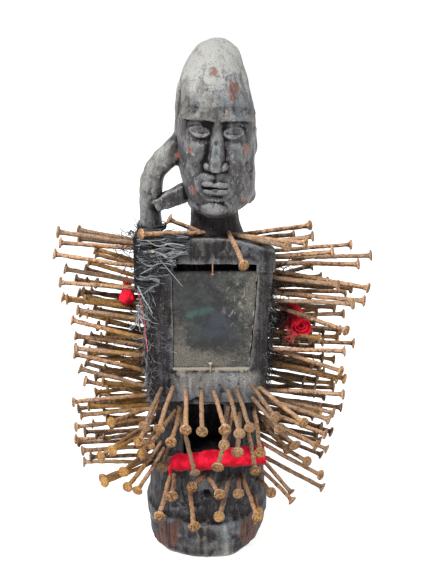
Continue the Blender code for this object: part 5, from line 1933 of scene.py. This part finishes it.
# ---------------------------------------------------------------- red cloth
def cloth_material(name="crimson_cloth", pale=0.0):
    m = Nodes(name)
    weave_a = m.noise(0.00055, 1, 0.5, (1, 1, 0.3), 2)
    weave_b = m.noise(0.00060, 1, 0.5, (0.3, 1, 1), 7)
    weave = m.math("ADD", m.math("MULTIPLY", weave_a, 0.5), m.math("MULTIPLY", weave_b, 0.5))
    soft = m.noise(0.007, 4, 0.55, seed=5)
    base = m.mix(m.ramp(soft, 0.35, 0.68), (0.60, 0.003, 0.020), (0.97, 0.016, 0.050))
    faded = m.math("ADD", m.attribute("faded"), m.math("MULTIPLY", m.math("SUBTRACT", soft, 0.5), 0.8))
    base = m.mix(m.ramp(faded, 0.35, 0.9, 0.0, 0.7), base, (0.62, 0.20, 0.19))
    dirt = m.ramp(m.noise(0.0035, 4, 0.65, seed=9), 0.62, 0.78)
    colour = m.mix(m.math("MULTIPLY", dirt, 0.55), base, (0.10, 0.012, 0.014))
    colour = m.mix(m.ramp(weave, 0.42, 0.30, 0.0, 0.35), colour, (0.22, 0.0, 0.008))
    # painted shade: downward-facing cloth is made darker
    colour = m.mix(m.math("MULTIPLY", m.facing_down(), 0.85), colour, (0.20, 0.0, 0.008))
    n = m.bump(soft, 0.0016, 0.5)
    n = m.bump(weave, 0.00035, 0.8, n)
    mat = m.done(colour, 0.80, n, spec=0.12)
    m.bsdf.inputs["Sheen Weight"].default_value = 0.14
    m.bsdf.inputs["Sheen Roughness"].default_value = 0.5
    m.bsdf.inputs["Sheen Tint"].default_value = (1.0, 0.35, 0.40, 1)
    return mat


CLOTH = cloth_material()


def rolled_cloth(
    name, a, b, r_in, r_out, turns, thick, seed, stagger, squash, flare, faded_end=0.0, steps=2.0, nose=0.0
):
    """A sheet of cloth rolled up along a line from a to b, in millimetres. It
    gives the mesh and the sheet's flat width and length, in metres."""
    a, b = np.asarray(a, float), np.asarray(b, float)
    long = float(np.linalg.norm(b - a))
    axis = (b - a) / long
    side = np.cross(axis, (0, 0, 1))
    side /= np.linalg.norm(side)
    up = np.cross(side, axis)
    n_long = max(int(long / steps), 12)
    n_round = int(turns * (30))
    w, t = np.meshgrid(np.linspace(0, 1, n_round), np.linspace(0, 1, n_long), indexing="ij")
    angle = 2 * np.pi * turns * w
    q = np.stack([30 * np.cos(angle), 30 * np.sin(angle), t * long * 1.3], -1).reshape(-1, 3)
    q = q.astype(np.float32) + seed * 17
    crease = 0.13 * noise(q, (24, 24, 22), 1) + 0.09 * noise(q, (11, 11, 9), 3)
    ridge = 1 - np.abs(noise(q + 0.35 * q[:, [2, 0, 1]], (17, 17, 13), 6))
    crease = (crease + 0.13 * (ridge**5 - 0.25)).reshape(w.shape)
    along = (t - 0.5) * long
    ends = np.abs(2 * t - 1) ** 6
    spin = noise(np.stack([w.ravel() * 9, w.ravel() * 0, t.ravel() * 0], 1).astype(np.float32) + seed, 1.0, 2).reshape(w.shape)
    along = along + np.sign(t - 0.5) * ends * (stagger * (w - 0.8) + 0.9 * spin)
    r = r_in + (r_out - r_in) * w
    r = r * (1 + 0.07 * np.sin(t * long / 6.5 + seed) + 0.04 * np.sin(t * long / 2.9))
    r = r * (1 + crease) * (1 + flare * (ends * (w > 0.75) * (t > 0.5)))
    r = r * (1 - nose * np.clip(1 - t / 0.13, 0, 1) ** 2.2)
    layers = []
    for way in (-0.5, 0.5):
        rr = r + way * thick
        pts = (
            (a + b) / 2
            + along[..., None] * axis
            + (rr * np.cos(angle))[..., None] * side
            + (rr * np.sin(angle) * squash)[..., None] * up
        )
        layers.append(pts.reshape(-1, 3))
    n = n_round * n_long
    i, j = np.meshgrid(np.arange(n_round - 1), np.arange(n_long - 1), indexing="ij")
    k = (i * n_long + j).ravel()
    quad = np.stack([k, k + n_long, k + n_long + 1, k + 1], 1)
    border = [i * n_long for i in range(n_round)]
    border += [(n_round - 1) * n_long + j for j in range(1, n_long)]
    border += [i * n_long + n_long - 1 for i in range(n_round - 2, -1, -1)]
    border += [j for j in range(n_long - 2, 0, -1)]
    p = np.array(border)
    c = np.roll(p, -1)
    quads = np.concatenate([quad[:, ::-1], quad + n, np.stack([p, c, c + n, p + n], 1)])
    mid = (layers[0] + layers[1]) / 2
    grid = mid.reshape(n_round, n_long, 3)
    wide = np.linalg.norm(np.diff(grid, axis=0), axis=2).sum(0).mean() / 1000
    tall = np.linalg.norm(np.diff(grid, axis=1), axis=2).sum(1).mean() / 1000
    mesh = make_mesh(name, np.concatenate(layers) / 1000, quads)
    fade = faded_end * ends.ravel() * np.clip(t.ravel() - 0.3, 0, 1)
    field(mesh, "faded", np.tile(fade, 2))
    mesh.shade_smooth()
    mesh.set_sharp_from_angle(angle=math.radians(60))
    return mesh, float(wide), float(tall)


a = np.array(at_depth(177, 463, -0.0625)) * 1000
b = np.array(at_depth(262, 455, -0.0635)) * 1000
mesh, wide, tall = rolled_cloth("rolled_cloth_front", a + (a - b) * 0.06, b + (b - a) * 0.035, 1.6, 9.7, 4.3, 0.75, 3, 2.2, 0.98, 0.02, 0.0, 1.8, 0.42)
front_cloth = piece("rolled_cloth_front", mesh, CLOTH, ("red_cloth_front",))
print("front cloth flat", wide, tall)

a = np.array(at_depth(292, 309, 0.020)) * 1000
b = np.array(at_depth(302.6, 327, -0.022)) * 1000
mesh, wide, tall = rolled_cloth("rolled_cloth_right", a, b, 1.5, 9.0, 3.1, 0.95, 8, 6.0, 0.97, 0.10, 0.35, 1.5)
right_cloth = piece("rolled_cloth_right", mesh, CLOTH, ("red_cloth_right",))
print("right cloth flat", wide, tall)


def bundle_mesh():
    """A small knotted bundle: full below, gathered in pleats to a tuft above."""
    nu, nv = ((72, 54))
    lon, t = np.meshgrid(
        np.linspace(0, 2 * np.pi, nu, endpoint=False), np.linspace(0, 1, nv), indexing="ij"
    )
    # from the tuft's top down to the bottom: radius and height
    profile = np.array(
        [
            (0.00, 0.2, 15.6),
            (0.06, 3.4, 16.4),
            (0.15, 4.4, 14.6),
            (0.25, 3.1, 11.6),
            (0.33, 2.7, 9.2),
            (0.43, 4.4, 6.8),
            (0.56, 6.7, 3.0),
            (0.70, 7.4, -2.0),
            (0.85, 6.1, -6.4),
            (0.95, 3.2, -8.6),
            (1.00, 0.2, -9.1),
        ]
    )
    radius = np.interp(t, profile[:, 0], profile[:, 1])
    high = np.interp(t, profile[:, 0], profile[:, 2])
    gather = step01(0.55, 0.2, t)
    q = np.stack([20 * np.cos(lon), 20 * np.sin(lon), 2.4 * high], -1)
    lump = noise(q.reshape(-1, 3).astype(np.float32), 11, 3).reshape(lon.shape)
    pleat = np.cos(7 * lon + 1.1 * np.sin(2 * lon)) + 0.6 * np.cos(12 * lon + 2)
    r = radius * (1 + 0.17 * lump + (0.05 + 0.13 * gather) * pleat)
    x = 1.08 * r * np.cos(lon) + 0.6 * gather * (high > 0)
    y = 1.08 * r * np.sin(lon)
    z = high + 1.4 * gather * pleat * (t < 0.2)
    c = np.array(at_depth(127.5, 296, -0.010)) * 1000
    pts = np.stack([x + c[0], y + c[1], z + c[2]], -1).reshape(-1, 3)
    quads = []
    for i in range(nu):
        k = (i + 1) % nu
        for j in range(nv - 1):
            quads.append((i * nv + j, i * nv + j + 1, k * nv + j + 1, k * nv + j))
    faces = quads + [tuple(i * nv for i in range(nu))] + [
        tuple(i * nv + nv - 1 for i in range(nu - 1, -1, -1))
    ]
    mesh = bpy.data.meshes.new("cloth_bundle")
    mesh.from_pydata((pts / 1000).tolist(), [], faces)
    mesh.validate()
    mesh.update()
    field(mesh, "faded", 0.2 * gather.ravel())
    mesh.shade_smooth()
    return mesh


bundle = piece("cloth_bundle", bundle_mesh(), CLOTH, ("red_cloth_left",))

# frayed red threads
routes, radii, tones, warms = [], [], [], []
rnd = np.random.default_rng(77)
for i in range(84):
    share = rnd.uniform(0, 1)
    roll_at = np.array(at_depth(292 + 10 * share, 311 + 19 * share, 0.014 - 0.036 * share)) * 1000
    at = roll_at + np.array((-6.5, -5.5, -4.0)) * rnd.uniform(0.8, 1.15)
    strand(curl(at, rnd, rnd.uniform(6, 15), 0.12, lead=(-0.8, -0.35, rnd.uniform(-0.8, 0.5))), rnd.uniform(0.24, 0.46), 0.5)
for i in range(26):
    c = np.array(at_depth(129, 283, -0.010)) * 1000
    at = c + np.array((rnd.uniform(-3, 3), rnd.uniform(-3, 3), rnd.uniform(-1, 2)))
    strand(curl(at, rnd, rnd.uniform(4, 9), 0.12, lead=(-0.5, -0.3, 0.8)), rnd.uniform(0.2, 0.34), 0.5)
for i in range(18):
    end = rnd.uniform() < 0.5
    u = 172 + rnd.uniform(-1, 2) if end else 267 + rnd.uniform(-2, 1)
    v = rnd.uniform(456, 474) if end else rnd.uniform(447, 464)
    at = np.array(at_depth(u, v, -0.066 + rnd.uniform(-0.004, 0.004))) * 1000
    lead = (-1 if end else 1, -0.2, -0.5)
    strand(curl(at, rnd, rnd.uniform(2, 6), 0.25, lead=lead), rnd.uniform(0.15, 0.25), 0.5)
fray = tubes("frayed_threads", routes, radii, tones, warms, 5)
field(fray, "faded", 0.45 + 0.6 * (noise(coords(fray) * 1000, 5, 4) * 0.5 + 0.5))
piece("frayed_threads", fray, CLOTH)

# a scrap of the same cloth at the front roll's left end
routes, radii, tones, warms = [], [], [], []
for k in range(16):
    off = rnd.normal(0, 0.45, 3)
    base = from_view([(172.5, 460, -0.0670), (170.6, 464, -0.0685), (169.8, 469, -0.0685), (170.6, 474, -0.0675)])
    strand(base + off, 0.7, 0.6)
scrap = tubes("cloth_scrap", routes, radii, tones, warms, 6)
field(scrap, "faded", 0.1 + 0 * coords(scrap)[:, 0])
piece("cloth_scrap", scrap, CLOTH)

# ---------------------------------------------------------------- red thread
thread_route, thread_long = smooth_route([tuple(at_depth(*p)) for p in THREAD], 0.0028)
thread_curve = bpy.data.curves.new("hanging_thread", "CURVE")
thread_curve.dimensions = "3D"
thread_curve.bevel_depth = THREAD_R
thread_curve.bevel_resolution = 2
thread_curve.use_fill_caps = True
spline = thread_curve.splines.new("POLY")
spline.points.add(len(thread_route) - 1)
for point, co in zip(spline.points, thread_route):
    point.co = (*co, 1)
THREAD_MAT = Nodes("two_tone_thread")
wind = THREAD_MAT.noise(0.0011, 2, 0.5, (1, 1, 0.8), 2)
thread_mat = THREAD_MAT.done(
    THREAD_MAT.mix(THREAD_MAT.ramp(wind, 0.42, 0.56), (0.42, 0.012, 0.030), (0.70, 0.20, 0.20)),
    0.85,
    THREAD_MAT.bump(wind, 0.0003, 0.8),
    spec=0.2,
)
thread_curve.materials.append(thread_mat)
thread = bpy.data.objects.new("hanging_thread", thread_curve)
scene.collection.objects.link(thread)
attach(thread, "root")
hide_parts("red_thread")
print("thread length", thread_long)


# ---------------------------------------------------------------- light, floor
floor_mesh = bpy.data.meshes.new("floor")
floor_mesh.from_pydata(
    [(-60, -60, 0), (60, -60, 0), (60, 60, 0), (-60, 60, 0)], [], [(0, 1, 2, 3)]
)
floor = bpy.data.objects.new("floor", floor_mesh)
scene.collection.objects.link(floor)
f = Nodes("pale_floor")
floor_mesh.materials.append(f.done((0.80, 0.80, 0.80, 1), 0.95, spec=0.0))
f.bsdf.inputs["Emission Color"].default_value = (1, 1, 1, 1)
f.bsdf.inputs["Emission Strength"].default_value = 0.66

world = bpy.data.worlds.new("white")
scene.world = world
world.use_nodes = True
back = world.node_tree.nodes["Background"]
back.inputs["Color"].default_value = (1.0, 1.0, 1.0, 1)
back.inputs["Strength"].default_value = 0.46


def lamp(name, at, towards, size, power):
    data = bpy.data.lights.new(name, "AREA")
    data.shape = "SQUARE"
    data.size = size
    data.energy = power
    ob = bpy.data.objects.new(name, data)
    ob.location = at
    ob.rotation_euler = (Vector(towards) - Vector(at)).to_track_quat("-Z", "Y").to_euler()
    scene.collection.objects.link(ob)
    return ob


lamp("key", (-0.70, -0.85, 1.75), (0, 0, 0.3), 0.5, 38)
lamp("fill", (1.3, -1.0, 0.9), (0, 0, 0.28), 1.2, 6)
lamp("rim", (0.9, 1.1, 1.5), (0, 0, 0.32), 0.8, 10)

scene.view_settings.view_transform = "Standard"
scene.view_settings.look = "None"
